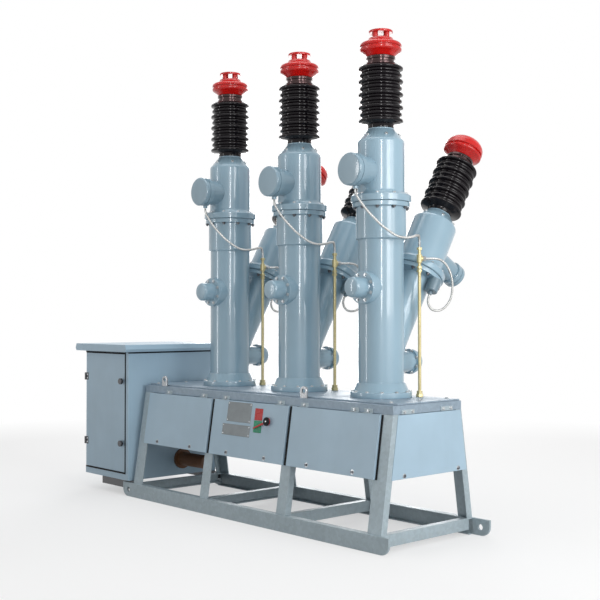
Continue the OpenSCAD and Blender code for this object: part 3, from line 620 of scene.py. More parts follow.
class BREAKER_OT_stage(PieceOperator, bpy.types.Operator):
    """Pale floor, soft upright studio lamps and the camera at the photograph's angle"""
    bl_idname = "breaker.stage"
    bl_label = "Stage"

    CAMERA = (5.1437, -4.5521, 1.3087)
    LOOK = (-0.7403, 0.6721, 0.0177)
    LENS, SENSOR, VIEW_END = 61.33, 36.0, 200.0
    # Name, azimuth in degrees, distance, lowest and highest edge, width, brightness, whether it lights,
    # whether it shows in reflections
    LAMPS = (
        ("key", 0.0, 9.0, 1.35, 5.8, 5.6, 4.6, True, True),
        ("fill", 5.0, 8.0, 0.10, 4.0, 5.0, 1.7, True, False),
        ("near", -33.0, 9.0, 1.35, 5.8, 1.9, 2.9, True, False),
        ("stripe", -40.0, 9.0, 1.35, 5.8, 0.7, 27.0, False, True),
        ("broad", -8.0, 8.5, 1.35, 5.8, 2.2, 4.6, False, True),
        ("left", -122.0, 8.0, 0.05, 6.0, 0.5, 14.0, False, True),
        ("back", 135.0, 9.0, 0.30, 6.0, 4.0, 4.6, True, True))
    TOP_SIZE, TOP_HEIGHT, TOP_BRIGHT = 5.0, 7.5, 2.4
    AMBIENT, WHITE = 0.40, (1.0, 1.0, 1.0, 1.0)
    FLOOR_RINGS, FLOOR_SIDES, FLOOR_Z = (80.0, 30.0, 12.0, 6.0, 3.0, 0.02), 64, -0.001
    FLOOR_SEEN, FLOOR_BOUNCE, FLOOR_GLOW = 0.90, 0.45, 0.5
    FLOOR_ROUGH, FLOOR_SPECULAR, FADE_FROM, FADE_TO = 0.9, 0.1, 3.0, 7.0

    def execute(self, context):
        scene = context.scene
        scene.view_settings.view_transform = "Standard"
        scene.world = self.make_world()
        self.make_floor()
        for name, azimuth, far, low, high, width, bright, lights, shines in self.LAMPS:
            way = np.array([math.cos(math.radians(azimuth)), math.sin(math.radians(azimuth)), 0.0])
            lamp = self.make_lamp(name, way * far + (low + high) / 2 * UP, -way, width, high - low, bright)
            lamp.visible_diffuse, lamp.visible_glossy = lights, shines
        self.make_lamp("top", self.TOP_HEIGHT * UP, -UP, self.TOP_SIZE, self.TOP_SIZE, self.TOP_BRIGHT)
        data = bpy.data.cameras.new("camera")
        data.lens, data.sensor_width, data.clip_end = self.LENS, self.SENSOR, self.VIEW_END
        scene.camera = self.aimed("camera", data, self.CAMERA, self.LOOK)
        return {"FINISHED"}

    @staticmethod
    def aimed(name, data, where, way):
        """Lamp or camera at a place, looking along a direction."""
        obj = bpy.data.objects.new(name, data)
        obj.location = where
        obj.rotation_euler = Vector(way).to_track_quat("-Z", "Y").to_euler()
        bpy.context.scene.collection.objects.link(obj)
        return obj

    def make_lamp(self, name, where, way, width, height, bright):
        """Area lamp that shines along a direction; its power is brightness times pi times its area."""
        lamp = bpy.data.lights.new(name, "AREA")
        lamp.shape = "RECTANGLE"
        lamp.size, lamp.size_y = width, height
        lamp.energy = bright * math.pi * width * height
        obj = self.aimed(name, lamp, where, way)
        obj.visible_camera = False
        return obj

    def make_world(self):
        """White to the camera, in reflections and through glass, a softer light elsewhere."""
        world = Nodes(bpy.data.worlds.new("studio"))
        strength = world.ramp(world.seen_rays(), 0.0, 1.0, self.AMBIENT, 1.0)
        world.feed(world.tree.nodes["Background"], {"Color": self.WHITE, "Strength": strength})
        return world.owner

    def make_floor(self):
        """Disc of rings about the object, plain near it and fading into the white background far from it."""
        n, m = len(self.FLOOR_RINGS), self.FLOOR_SIDES
        points = ring_points([(r, self.FLOOR_Z) for r in self.FLOOR_RINGS], m)
        f = Finish("floor")
        far = f.add("ShaderNodeVectorMath", {0: f.coords}, operation="LENGTH")["Value"]
        seen = f.seen_rays()
        pale, dull = ((v, v, v, 1.0) for v in (self.FLOOR_SEEN, self.FLOOR_BOUNCE))
        near = f.maths("MULTIPLY", seen, self.FLOOR_GLOW)
        fade = f.maths("MAXIMUM", f.ramp(far, self.FADE_FROM, self.FADE_TO), near)
        f.feed(f.shader, {"Base Color": f.mix(seen, dull, pale), "Roughness": self.FLOOR_ROUGH,
                          "Specular IOR Level": self.FLOOR_SPECULAR})
        glow = f.add("ShaderNodeEmission", {"Color": self.WHITE, "Strength": 1.0})["Emission"]
        blend = f.add("ShaderNodeMixShader", {"Fac": fade, 1: f.shader.outputs["BSDF"], 2: glow})["Shader"]
        f.feed(f.tree.nodes["Material Output"], {"Surface": blend})
        floor = new_object("floor", surface(points, ring_quads(n, m), ring_caps(n, m)[1:]), f.owner)


class BREAKER_OT_hoses(PieceOperator, bpy.types.Operator):
    """Six flexible metal hoses: a ribbed circle carried along each route"""
    bl_idname = "breaker.hoses"
    bl_label = "Hoses"

    SAMPLES, SIDES, RIB_SHARE, RIB_SHARP = 6, 12, 0.20, 80

    def execute(self, context):
        for i, name in enumerate(POLE_NAMES):
            foot = upright(i, 0.0)[0]
            self.make_hose(f"front_hose_{name}", FRONT_ROUTE + foot, foot)
            self.make_hose(f"rear_hose_{name}", REAR_ROUTE + foot)
        return {"FINISHED"}

    def make_hose(self, node, route, foot=None):
        """Radius r (1 - a (1 - cos 2 pi s / pitch) / 2) at distance s along the route."""
        path, length = smooth_path(route, self.sizes.rib / self.SAMPLES)
        wave = np.cos(2 * np.pi * np.linspace(0, length, len(path)) / self.sizes.rib)
        radius = self.sizes.hose / 2 * (1 - self.RIB_SHARE * (1 - wave) / 2)
        reference = X_AXIS if foot is None else (path - foot) * LEVEL
        tube = sweep(path, radius, reference, self.SIDES)
        obj = piece(node + "_ribbed", tube, "hose_steel", (node,), sharp=self.RIB_SHARP)
        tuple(path[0])


class BREAKER_OT_tanks(PieceOperator, bpy.types.Operator):
    """Upright tanks: base flange and collar, plain tube, wider neck and top flange, handhole pad"""
    bl_idname = "breaker.tanks"
    bl_label = "Tanks"

    COLLAR_FOOT, COLLAR_LIP, TUBE_LAP = 0.172, 0.009, 0.002
    BASE_EDGE, NECK_EDGE = 0.002, 0.003
    PAD_FROM, PAD_FACE_R = 0.6, 0.09

    def execute(self, context):
        high, reach = COLLAR_Z - DECK, POLE_Y - PAD_Y
        base = rounded([
            (BASE_R - self.BASE_EDGE, 0), (BASE_R, self.BASE_EDGE), (BASE_R, BASE_T),
            (self.COLLAR_FOOT, BASE_T + HAIR), (TANK_R + self.COLLAR_LIP, high - STEP),
            (TANK_R - self.TUBE_LAP, high + HAIR)], SOFT)
        tube = [(TANK_R, 0), (TANK_R, NECK_Z - COLLAR_Z)]
        neck = flanged([(NECK_R - self.NECK_EDGE, 0), (NECK_R, self.NECK_EDGE)], NECK_R, TANK_TOP - NECK_Z)
        pad = rounded([(HANDHOLE_R, TANK_R * self.PAD_FROM), (HANDHOLE_R, reach - HAIR),
                       (self.PAD_FACE_R, reach)], FINE)
        parts = []
        for i in POLES:
            parts += [revolve(base, upright(i, DECK)), revolve(tube, upright(i, COLLAR_Z)),
                      revolve(neck, upright(i, NECK_Z)), revolve(pad, across(i, HANDHOLE_Z, FRONT), MEDIUM)]
        nodes = "tank_bases", "tank_necks", *(f"tank_{name}" for name in POLE_NAMES)
        piece("tanks", join(parts), "tank_paint", nodes)
        return {"FINISHED"}


class BREAKER_OT_arms(PieceOperator, bpy.types.Operator):
    """Tilted arms with their flanges and rear stubs, welded round the tanks"""
    bl_idname = "breaker.arms"
    bl_label = "Tilted arms"

    TUBE_FROM, STUB_FROM, STUB_EDGE = 0.06, 0.7, 0.003

    def execute(self, context):
        tube = flanged([(ARM_LOW_R, self.TUBE_FROM)], ARM_TOP_R, ARM_L)
        reach = STUB_Y - POLE_Y
        under = reach - STUB_FLANGE_T
        stub = rounded([
            (STUB_R, TANK_R * self.STUB_FROM), (STUB_R, under), (STUB_FLANGE_R, under + HAIR),
            (STUB_FLANGE_R, reach), (STUB_FLANGE_R - self.STUB_EDGE, reach)], SOFT)
        parts = []
        for i in POLES:
            parts += [revolve(tube, on_arm(i, 0)), revolve(stub, across(i, JUNCTION_Z, REAR), MEDIUM)]
        piece("tilted_arms", join(parts), "tank_paint", [f"arm_{name}" for name in POLE_NAMES])
        return {"FINISHED"}


class BREAKER_OT_gaskets(PieceOperator, bpy.types.Operator):
    """Dark gasket rings in the joints between the pole flanges and the housings"""
    bl_idname = "breaker.gaskets"
    bl_label = "Gaskets"

    INSET, LOW, HIGH = 0.003, -0.0025, 0.0005

    def execute(self, context):
        ring = [(FLANGE_R - self.INSET, z) for z in (self.LOW, self.HIGH)]
        parts = [revolve(ring, place) for i in POLES for place in on_flanges(i)]
        piece("flange_gaskets", join(parts), "shed_rubber", finish="seal_black")
        return {"FINISHED"}


class BREAKER_OT_covers(PieceOperator, bpy.types.Operator):
    """Handhole covers with round caps in front, domed end covers behind"""
    bl_idname = "breaker.covers"
    bl_label = "Covers"

    EDGE_R, RISE, EDGE_TURN = 0.020, 0.005, 82
    COVER_EDGE, CAP_FILLET = 0.002, 0.003
    DOME_STEPS, DOME_OPEN = 14, 0.02

    def execute(self, context):
        edge, fillet = self.COVER_EDGE, self.CAP_FILLET
        cap = np.concatenate([
            [(HANDHOLE_R, 0.0), (HANDHOLE_R, COVER_T - edge), (HANDHOLE_R - edge, COVER_T),
             (CAP_R + fillet, COVER_T), (CAP_R, COVER_T + fillet)],
            lid(CAP_R, CAP_TIP, self.EDGE_R, self.RISE, self.EDGE_TURN)])
        # Quarter of an ellipse: radius R cos a at the height rim + rise sin a
        turn = np.linspace(0, np.pi / 2 - self.DOME_OPEN, self.DOME_STEPS)
        round_part = np.stack([DOME_R * np.cos(turn), DOME_RIM + (DOME_L - DOME_RIM) * np.sin(turn)], 1)
        dome = np.concatenate([[(DOME_R, 0.0)], round_part])
        front = [revolve(cap, across(i, HANDHOLE_Z, FRONT, PAD_Y), MEDIUM) for i in POLES]
        rear = [revolve(dome, across(i, JUNCTION_Z, REAR, STUB_Y), MEDIUM) for i in POLES]
        piece("handhole_caps", join(front), "tank_paint", ("handhole_covers",))
        piece("rear_domes", join(rear), "tank_paint", ("rear_end_covers",))
        return {"FINISHED"}


class BREAKER_OT_housings(PieceOperator, bpy.types.Operator):
    """Current transformer housings: flared foot, plain body, round shoulder, conical top"""
    bl_idname = "breaker.housings"
    bl_label = "Transformer housings"

    FOOT_EDGE, FOOT_BEVEL, SHOULDER_TURN = 0.004, 0.007, 50
    MOUTH_STEP, MOUTH_IN = 0.006, 0.004

    def execute(self, context):
        lip = HOUSING_H - self.MOUTH_STEP
        outline = np.concatenate([
            [(FOOT_R - self.FOOT_EDGE, 0), (FOOT_R, self.FOOT_EDGE), (FOOT_R, FOOT_T - self.FOOT_BEVEL),
             (FOOT_R - self.FOOT_BEVEL, FOOT_T)],
            arc((HOUSING_R + FILLET_R, FOOT_T + FILLET_R), FILLET_R, 270, 180),
            arc((HOUSING_R - FILLET_R, SHOULDER_H), FILLET_R, 0, self.SHOULDER_TURN),
            rounded([(MOUTH_R + self.MOUTH_STEP, lip - self.MOUTH_STEP), (MOUTH_R, lip),
                     (MOUTH_R, HOUSING_H), (MOUTH_R - self.MOUTH_IN, HOUSING_H)], FINE)])
        front, rear = paired(outline)
        piece("front_transformers", front, "tank_paint", ("front_housings",))
        piece("rear_transformers", rear, "tank_paint", ("rear_housings",))
        return {"FINISHED"}


class BREAKER_OT_boxes(PieceOperator, bpy.types.Operator):
    """Round terminal boxes: neck, cover with a seam and a slightly domed lid, gland under the front ones"""
    bl_idname = "breaker.boxes"
    bl_label = "Terminal boxes"

    SIDES, NECK_SHARE, NECK_FROM = 72, 0.86, 0.8
    SEAM, COVER_L, LID_AT, GROOVE = 0.004, 0.072, 0.034, 0.004
    EDGE_R, RISE, EDGE_TURN = 0.012, 0.0025, 85
    GLAND = ((0.015, 0.0), (0.015, 0.016), (0.018, 0.0165), (0.018, 0.034), (0.013, 0.036), (0.013, 0.060))

    def outline(self, r, length):
        """Neck, cover body, seam groove and domed lid of a box."""
        neck, inner, cover = r * self.NECK_SHARE, r - self.GROOVE, length - self.COVER_L
        seam = cover + self.LID_AT
        return np.concatenate([
            [(neck, HOUSING_R * self.NECK_FROM), (neck, cover - STEP), (inner, cover),
             (r, cover + self.GROOVE), (r, seam), (inner, seam + HAIR), (inner, seam + self.SEAM),
             (r, seam + self.SEAM + HAIR)],
            lid(r, length, self.EDGE_R, self.RISE, self.EDGE_TURN)])

    def execute(self, context):
        front, rear = [], []
        front_box, rear_box = self.outline(BOX_R, BOX_L), self.outline(REAR_BOX_R, REAR_BOX_L)
        for i in POLES:
            gland = upright(i, SEAT)[0] + FRONT_ROUTE[0], SQUARE
            arm = on_arm(i, ARM_L + REAR_BOX_H)[0], facing(ARM_BACK)
            front += [revolve(front_box, across(i, TANK_TOP + BOX_H, FRONT), self.SIDES),
                      revolve(self.GLAND, gland, SMALL)]
            rear.append(revolve(rear_box, arm, self.SIDES))
        piece("front_boxes", join(front), "tank_paint", ("front_terminal_boxes",), "box_paint")
        piece("rear_boxes", join(rear), "tank_paint", ("rear_terminal_boxes",), "box_paint")
        return {"FINISHED"}


class BREAKER_OT_bushings(PieceOperator, bpy.types.Operator):
    """Shed bushings: wide and narrow sheds in turn, each with a drooping round lip and a filleted root"""
    bl_idname = "breaker.bushings"
    bl_label = "Bushings"

    COUNT, NECK_H, NECK_R, NECK_FILLET = 9, 0.027, 0.080, 0.004
    WIDE_R, NARROW_R, ROOT_R, SHED_SHARP = 0.139, 0.131, 0.118, 50
    LIP, DROOP, LIP_TURN, LIP_STEPS = 0.0100, 0.002, (-80, 72), 9
    # Fillets from the root at a shed's foot and at its head, and the bushing's end
    UNDER = np.array([(0.0, 0.0035), (0.003, 0.0065)])
    OVER = np.array([(0.004, -0.0055), (0.0, -0.003)])
    END = ((0.100, BUSHING_H - HAIR), (0.098, BUSHING_H))

    def outline(self):
        """Sheds follow each other up the axis: root, sloping underside, round lip, sloping top."""
        pitch = (BUSHING_H - self.NECK_H) / self.COUNT
        parts = [[(self.NECK_R, 0.0), (self.NECK_R, self.NECK_H - self.NECK_FILLET),
                  (self.NECK_R + self.NECK_FILLET, self.NECK_H)]]
        for k in range(self.COUNT):
            z = self.NECK_H + (k + 0.5) * pitch
            r = self.NARROW_R if k % 2 else self.WIDE_R
            parts += [(self.ROOT_R, z - pitch / 2) + self.UNDER,
                      arc((r - self.LIP, z - self.DROOP), self.LIP, *self.LIP_TURN, self.LIP_STEPS),
                      (self.ROOT_R, z + pitch / 2) + self.OVER]
        return np.concatenate(parts + [self.END])

    def execute(self, context):
        front, rear = paired(self.outline(), HOUSING_H)
        piece("front_sheds", front, "shed_rubber", ("front_bushings",), sharp=self.SHED_SHARP)
        piece("rear_sheds", rear, "shed_rubber", ("rear_bushings",), sharp=self.SHED_SHARP)
        return {"FINISHED"}


class BREAKER_OT_terminals(PieceOperator, bpy.types.Operator):
    """Metal collars, red caps with posts and pads in front, red domes behind"""
    bl_idname = "breaker.terminals"
    bl_label = "Terminals"

    CAP_R, CAP_H, DOME_H = 0.129, 0.118, 0.159
    DOME_FROM, DOME_TO, DOME_STEPS = 8, 72, 12
    POSTS, POST_R, POST_H, POST_RING = 4, 0.017, 0.032, 0.0495
    PAD_R, PAD_T, PAD_EDGE, PAD_TOP, PAD_ROUND = 0.075, 0.015, 0.002, 0.003, 0.0015
    WAIST, COLLAR_EDGE = 0.008, 0.002
    # Shares of the cap's radius and height
    RIM = np.array([(0.62, 0), (0.66, 0.03), (0.72, 0.12), (0.92, 0.27), (0.985, 0.32), (1, 0.36), (1, 0.42),
                    (0.97, 0.46), (0.915, 0.47), (0.91, 0.50), (0.915, 0.53), (0.97, 0.54), (1, 0.58),
                    (1, 0.62), (0.985, 0.67)])
    HUB = np.array([(0.93, 0.73), (0.76, 0.80), (0.66, 0.86), (0.60, 0.94), (0.58, 0.99), (0.56, 1)])

    def execute(self, context):
        scale = np.array([self.CAP_R, self.CAP_H])
        cap, rim = np.concatenate([self.RIM, self.HUB]) * scale, self.RIM * scale
        # Dome over the rim: radius R cos a, and a height that follows sin a up to the dome's top
        turn = np.radians(np.linspace(self.DOME_FROM, self.DOME_TO, self.DOME_STEPS))
        z = rim[-1, 1]
        height = z + (self.DOME_H - z) * np.sin(turn) / np.sin(turn[-1])
        dome = np.concatenate([rim, np.stack([self.CAP_R * np.cos(turn), height], 1)])
        post = rounded([(self.POST_R, 0), (self.POST_R, self.POST_H),
                        (self.POST_R - STEP, self.POST_H)], KEEN)
        pad = rounded([(self.PAD_R - self.PAD_EDGE, 0), (self.PAD_R, self.PAD_EDGE),
                       (self.PAD_R, self.PAD_T - self.PAD_EDGE), (self.PAD_R - self.PAD_TOP, self.PAD_T)],
                      self.PAD_ROUND)
        third, waist = COLLAR_H / 3, COLLAR_R - self.WAIST
        collar = rounded([
            (COLLAR_R, 0), (COLLAR_R, third), (waist, third + HAIR), (waist, 2 * third),
            (COLLAR_R, 2 * third + HAIR), (COLLAR_R, COLLAR_H),
            (COLLAR_R - self.COLLAR_EDGE, COLLAR_H)], FINE)
        caps, domes, collars = [], [], []
        for i in POLES:
            foot, arm = on_flanges(i, CAP_FOOT)
            top = foot[0] + self.CAP_H * UP, SQUARE
            posts, _ = circle_places(top, self.POST_RING, 0.0, self.POSTS, 0.0)
            caps += [revolve(cap, foot), revolve(pad, (top[0] + self.POST_H * UP, SQUARE), MEDIUM)]
            caps += [revolve(post, (where, SQUARE), SMALL) for where in posts]
            domes.append(revolve(dome, arm))
            collars += [revolve(collar, place) for place in on_flanges(i, CAP_FOOT - COLLAR_H)]
        stands_for = "front_terminal_caps", "terminal_posts", "terminal_pads"
        piece("front_caps", join(caps), "terminal_red", stands_for)
        piece("rear_caps", join(domes), "terminal_red", ("rear_terminal_caps",))
        piece("bushing_collars", join(collars), "bright_metal", ("cap_collars",), "collar_metal")
        return {"FINISHED"}


class BREAKER_OT_wiring(PieceOperator, bpy.types.Operator):
    """Conduit pipes with nuts and tees, junction cylinders hanging from the arm flanges"""
    bl_idname = "breaker.wiring"
    bl_label = "Conduits"

    PIPE_AT, PIPE_R, PIPE_SIDES = np.array([0.160, 0.175, 0.0]), 0.010, 20
    TOP, TEE_Z, TEE_HALF, NUT_ZS = 0.921, 0.852, 0.025, (0.769, 0.790, 0.905)
    TEE_TURN = math.radians(60)
    STUB_AT, STUB_SIDES = np.array([0.156, 0.028, 0.523]), 40
    STUB_R, STUB_EDGE, GLAND_R, GLAND_L = 0.040, 0.004, 0.013, 0.020
    NUT = ((0.0155, 0), (0.017, 0.0015), (0.017, 0.0145), (0.0155, 0.016))
    FOOT_NUTS = (((0.023, 0), (0.023, 0.017), (0.0215, 0.019)),
                 ((0.019, 0.018), (0.019, 0.036), (0.0165, 0.038)))
    TEE = ((0.015, 0), (0.017, 0.001), (0.017, 0.049), (0.015, 0.050))
    BRANCH = ((0.015, 0), (0.015, 0.020), (0.013, 0.0205), (0.013, 0.024))
    COUPLING = ((0.0155, 0.022), (0.017, 0.0235), (0.017, 0.038), (0.0155, 0.0395))

    def execute(self, context):
        pipes, nuts, stubs = [], [], []
        tee = facing((math.cos(self.TEE_TURN), math.sin(self.TEE_TURN), 0.0))
        length = ARM_L - FLANGE_T - self.STUB_AT[2]
        stub = rounded([(self.STUB_R - self.STUB_EDGE, 0), (self.STUB_R, self.STUB_EDGE),
                        (self.STUB_R, length)], SOFT)
        for i in POLES:
            foot = upright(i, DECK)[0] + self.PIPE_AT
            side = foot + self.TEE_Z * UP, tee
            pipes += [revolve([(self.PIPE_R, 0), (self.PIPE_R, self.TOP)], (foot, SQUARE), self.PIPE_SIDES),
                      revolve(self.TEE, (foot + (self.TEE_Z - self.TEE_HALF) * UP, SQUARE), SMALL),
                      revolve(self.BRANCH, side, SMALL)]
            pipes += [revolve(nut, (foot, SQUARE), HEX) for nut in self.FOOT_NUTS]
            pipes += [revolve(self.NUT, (foot + z * UP, SQUARE), HEX) for z in self.NUT_ZS]
            nuts.append(revolve(self.COUPLING, side, HEX))
            start, rows = on_arm(i, 0)
            place = start + self.STUB_AT @ rows, rows
            stubs += [revolve(stub, place, self.STUB_SIDES),
                      revolve([(self.GLAND_R, -self.GLAND_L), (self.GLAND_R, 0.0)], place, HEX)]
        piece("conduits", join(pipes), "conduit_brass", ("conduit_pipes",))
        piece("hose_couplings", join(nuts), "bright_metal")
        # The junction cylinders take the darkened paint that stands for the shadow under the arm flanges
        piece("junction_cylinders", join(stubs), "tank_paint", ("junction_stubs",), "stub_paint")
        return {"FINISHED"}


class BREAKER_OT_bolts(PieceOperator, bpy.types.Operator):
    """Hexagon bolts and nuts round every flange, cover and panel"""
    bl_idname = "breaker.bolts"
    bl_label = "Bolts and nuts"

    BASE_COUNT, FLANGE_COUNT, COVER_COUNT, CONE_COUNT = 12, 10, 8, 6
    RIM_IN, FOOT_IN, STUB_IN, COVER_RING = 0.0115, 0.017, 0.0075, 0.082
    CONE_RING, CONE_Z, CONE_SLOPE = 0.113, 0.4105, math.radians(50)
    PANEL_XS, PANEL_RISE = (-0.984, -0.594, -0.189, 0.197, 0.594, 0.984), 0.024
    END_YS, END_RISE = (-0.212, 0.266), 0.017
    DECK_X, DECK_YS = 1.165, (-0.235, 0.012, 0.255)
    TURNED = np.array([[1.0], [-1.0], [-1.0]])

    def execute(self, context):
        nuts, bolts = [], []
        for i in POLES:
            bolts.append(circle_places(upright(i, DECK), BASE_R - self.RIM_IN, BASE_T, self.BASE_COUNT))
            for place in on_flanges(i):
                down = place[0] - FLANGE_T * place[1][2], place[1] * self.TURNED
                nuts.append(circle_places(down, FLANGE_R - self.RIM_IN, 0.0, self.FLANGE_COUNT))
                bolts.append(circle_places(place, FOOT_R - self.FOOT_IN, FOOT_T, self.FLANGE_COUNT))
                bolts.append(self.cone_bolts(place))
            cover = across(i, HANDHOLE_Z, FRONT, PAD_Y)
            bolts.append(circle_places(cover, self.COVER_RING, COVER_T, self.COVER_COUNT))
            stub = across(i, JUNCTION_Z, FRONT, STUB_Y - STUB_FLANGE_T)
            bolts.append(circle_places(stub, STUB_FLANGE_R - self.STUB_IN, 0.0, self.COVER_COUNT))
        deck = np.array([(side * self.DECK_X, y, DECK) for side in (-1, 1) for y in self.DECK_YS])
        bolts.append((deck, np.repeat([UP], len(deck), 0)))
        panel = gathered([self.panel_bolts(-1), self.panel_bolts(1), self.end_bolts()])
        fasteners("panel_washers", WASHER, panel, self.sizes.bolt)
        # Bolt heads and flange nuts take the darker metal that paints the shade round them
        fasteners("panel_bolts", HEAD, panel, self.sizes.bolt, "nut_steel")
        fasteners("flange_nuts", STUD_NUT, gathered(nuts), self.sizes.nut, "nut_steel")
        fasteners("cover_bolts", HEX_BOLT, gathered(bolts), self.sizes.bolt)
        return {"FINISHED"}

    def cone_bolts(self, place):
        """Bolts on the conical top of a housing, standing off its slope."""
        turn = 2 * np.pi * (np.arange(self.CONE_COUNT) + 0.5) / self.CONE_COUNT
        ring = np.stack([np.cos(turn), np.sin(turn), np.zeros(self.CONE_COUNT)], 1)
        local = ring * self.CONE_RING + self.CONE_Z * UP
        normal = ring * math.cos(self.CONE_SLOPE) + math.sin(self.CONE_SLOPE) * UP
        return local @ place[1] + place[0], normal @ place[1]

    def panel_bolts(self, side):
        """Two bolts near each front or rear panel's lower edge."""
        s = (PANEL_LOW + self.PANEL_RISE) / math.cos(SLANT)
        spots = [on_slope(x, s, PANEL_DEPTH, side) for x in self.PANEL_XS]
        return np.array([where for where, _ in spots]), np.array([rows[2] for _, rows in spots])

    def end_bolts(self):
        """Bolts near the lower corners of the end panels."""
        low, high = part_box("end_panels")
        places = [(side * high.x, y, low.z + self.END_RISE) for side in (-1, 1) for y in self.END_YS]
        return np.array(places), np.repeat([-X_AXIS, X_AXIS], len(self.END_YS), 0)


class BREAKER_OT_clips(PieceOperator, bpy.types.Operator):
    """Panel clips: a leaf bolted to the rail and a tongue over the panel's top edge"""
    bl_idname = "breaker.clips"
    bl_label = "Panel clips"

    FRONT_XS, FRONT_W = (-0.930, -0.513, -0.270, 0.288, 0.507, 0.940, 1.050), 0.066
    END_YS, END_W, END_BOLT = (-0.177, 0.162), 0.108, 0.034
    FRONT_REACH, END_REACH = PANEL_DEPTH + 0.003, 0.006
    LEAF_H, LEAF_T, TONGUE_T, EDGE = 0.026, 0.004, 0.003, 0.001
    BOLT_R = 0.0095

    def execute(self, context):
        low = PANEL_TOP + SEAT
        parts, places, normals = [], [], []
        for side in (-1, 1):
            for x in self.FRONT_XS:
                place = on_wall((x, side * RAIL_Y, low), side * Y_AXIS)
                parts += self.clip(place, self.FRONT_W, self.FRONT_REACH)
                places.append(place[0])
            normals += [side * Y_AXIS] * len(self.FRONT_XS)
            for y in self.END_YS:
                place = on_wall((side * END_X, y, low), side * X_AXIS)
                parts += self.clip(place, self.END_W, self.END_REACH)
                places += [place[0] - self.END_BOLT * Y_AXIS, place[0] + self.END_BOLT * Y_AXIS]
                normals += [side * X_AXIS] * 2
        normals = np.array(normals)
        places = np.array(places) + self.LEAF_T * normals + self.LEAF_H / 2 * UP
        piece("panel_clips", join(parts), "galvanised", sharp=FLAT_SHARP)
        fasteners("clip_bolts", HEX_BOLT, (places, normals), self.BOLT_R)
        return {"FINISHED"}

    def clip(self, place, width, reach):
        """Upright leaf on the face and a level tongue that stands out at its foot."""
        where, (right, up, out) = place
        leaf = where + self.LEAF_H / 2 * up, place[1]
        tongue = where + reach / 2 * out, np.stack([right, np.cross(up, right), up])
        return [slab(leaf, width, self.LEAF_H, self.LEAF_T, self.EDGE),
                slab(tongue, width, reach, self.TONGUE_T, self.EDGE)]


class BREAKER_OT_gap_shadows(PieceOperator, bpy.types.Operator):
    """Black strips of painted shadow on the legs in the joints of the front and rear panels"""
    bl_idname = "breaker.seals"
    bl_label = "Gap shadow strips"

    THICK, EDGE, SLACK, SHORT = 0.005, 0.001, 0.002, 0.004
    CORNER_W = 0.012

    def execute(self, context):
        low, high = PANEL_LOW / math.cos(SLANT), RAIL_Z / math.cos(SLANT) - self.SHORT
        widths = [(side * JOINT_X, JOINT_GAP - self.SLACK) for side in (-1, 1)]
        widths += [(side * (CORNER_X + self.CORNER_W / 2 + HAIR), self.CORNER_W) for side in (-1, 1)]
        # Painted shadow: black strips in the panel joints and beside the corner legs, where the deep gaps
        # fall in shade
        strips("panel_seals", [
            slab(on_slope(x, (low + high) / 2, SEAT, side), width, high - low, self.THICK, self.EDGE)
            for x, width in widths for side in (-1, 1)])
        return {"FINISHED"}


class BREAKER_OT_welds(PieceOperator, bpy.types.Operator):
    """Weld beads where arms and stubs meet the tanks, and round the collars"""
    bl_idname = "breaker.welds"
    bl_label = "Weld beads"

    STEPS, SIDES, BEAD_SHARP = 160, 8, 60
    RIPPLES, RIPPLE_SHARE, STUB_SHARE = 40, 0.12, 0.8
    # Radius, height and share of the bead's radius of the rings at the tank's collar and neck
    RINGS = ((TANK_R + 0.002, COLLAR_Z, 0.7), (TANK_R + 0.002, NECK_Z - STEP, 0.6))

    def execute(self, context):
        bead, parts = self.sizes.weld, []
        turn = 2 * np.pi * np.arange(self.STEPS) / self.STEPS
        ripple = bead * (1 + self.RIPPLE_SHARE * np.cos(self.RIPPLES * turn))
        beads = [(self.saddle(turn, ARM_LOW_R + STEP, ARM, ARM_BACK), ripple),
                 (self.saddle(turn, STUB_R, REAR, -UP), ripple * self.STUB_SHARE)]
        beads += [(ring_points([(r, z)], self.STEPS), bead * share) for r, z, share in self.RINGS]
        for i in POLES:
            foot = upright(i, 0.0)[0]
            parts += [sweep(path + foot, radius, path * LEVEL, self.SIDES, True) for path, radius in beads]
        piece("weld_beads", join(parts), "tank_paint", sharp=self.BEAD_SHARP)
        return {"FINISHED"}

    @staticmethod
    def saddle(turn, r, axis, back):
        """Curve where a tube of radius r meets the tank. On the tube, x = r cos a and the second part of
        the ring is r sin a along its back; the distance along its axis follows from x^2 + y^2 = R^2."""
        x, rise = r * np.cos(turn), r * np.sin(turn)
        along = (np.sqrt(TANK_R ** 2 - x ** 2) - rise * back[1]) / axis[1]
        return JUNCTION_Z * UP + x[:, None] * X_AXIS + rise[:, None] * back + along[:, None] * axis


class BREAKER_OT_plates(PieceOperator, bpy.types.Operator):
    """Two bare plates on the middle front panel, each with four small screws"""
    bl_idname = "breaker.plates"
    bl_label = "Bare plates"

    # Middle across and up the slope, width, height
    PLATES = ((-0.098, 0.696, 0.247, 0.129), (-0.113, 0.578, 0.285, 0.073))
    INSET, SCREW_R, EDGE = 0.010, 0.0045, 0.0008

    def execute(self, context):
        plates, screws, thick = [], [], self.sizes.plate
        for x, s, width, height in self.PLATES:
            place = on_slope(x, s, PANEL_DEPTH)
            plates.append(slab(place, width, height, thick, self.EDGE))
            right, up = width / 2 - self.INSET, height / 2 - self.INSET
            corners = np.array([(a * right, b * up, thick) for a in (-1, 1) for b in (-1, 1)])
            screws.append((corners @ place[1] + place[0], np.repeat(place[1][2:3], len(corners), 0)))
        piece("bare_plates", join(plates), "bright_metal", finish="plate_metal", sharp=FLAT_SHARP)
        fasteners("plate_screws", ROUND_SCREW, gathered(screws), self.SCREW_R, sharp=SHARP)
        return {"FINISHED"}


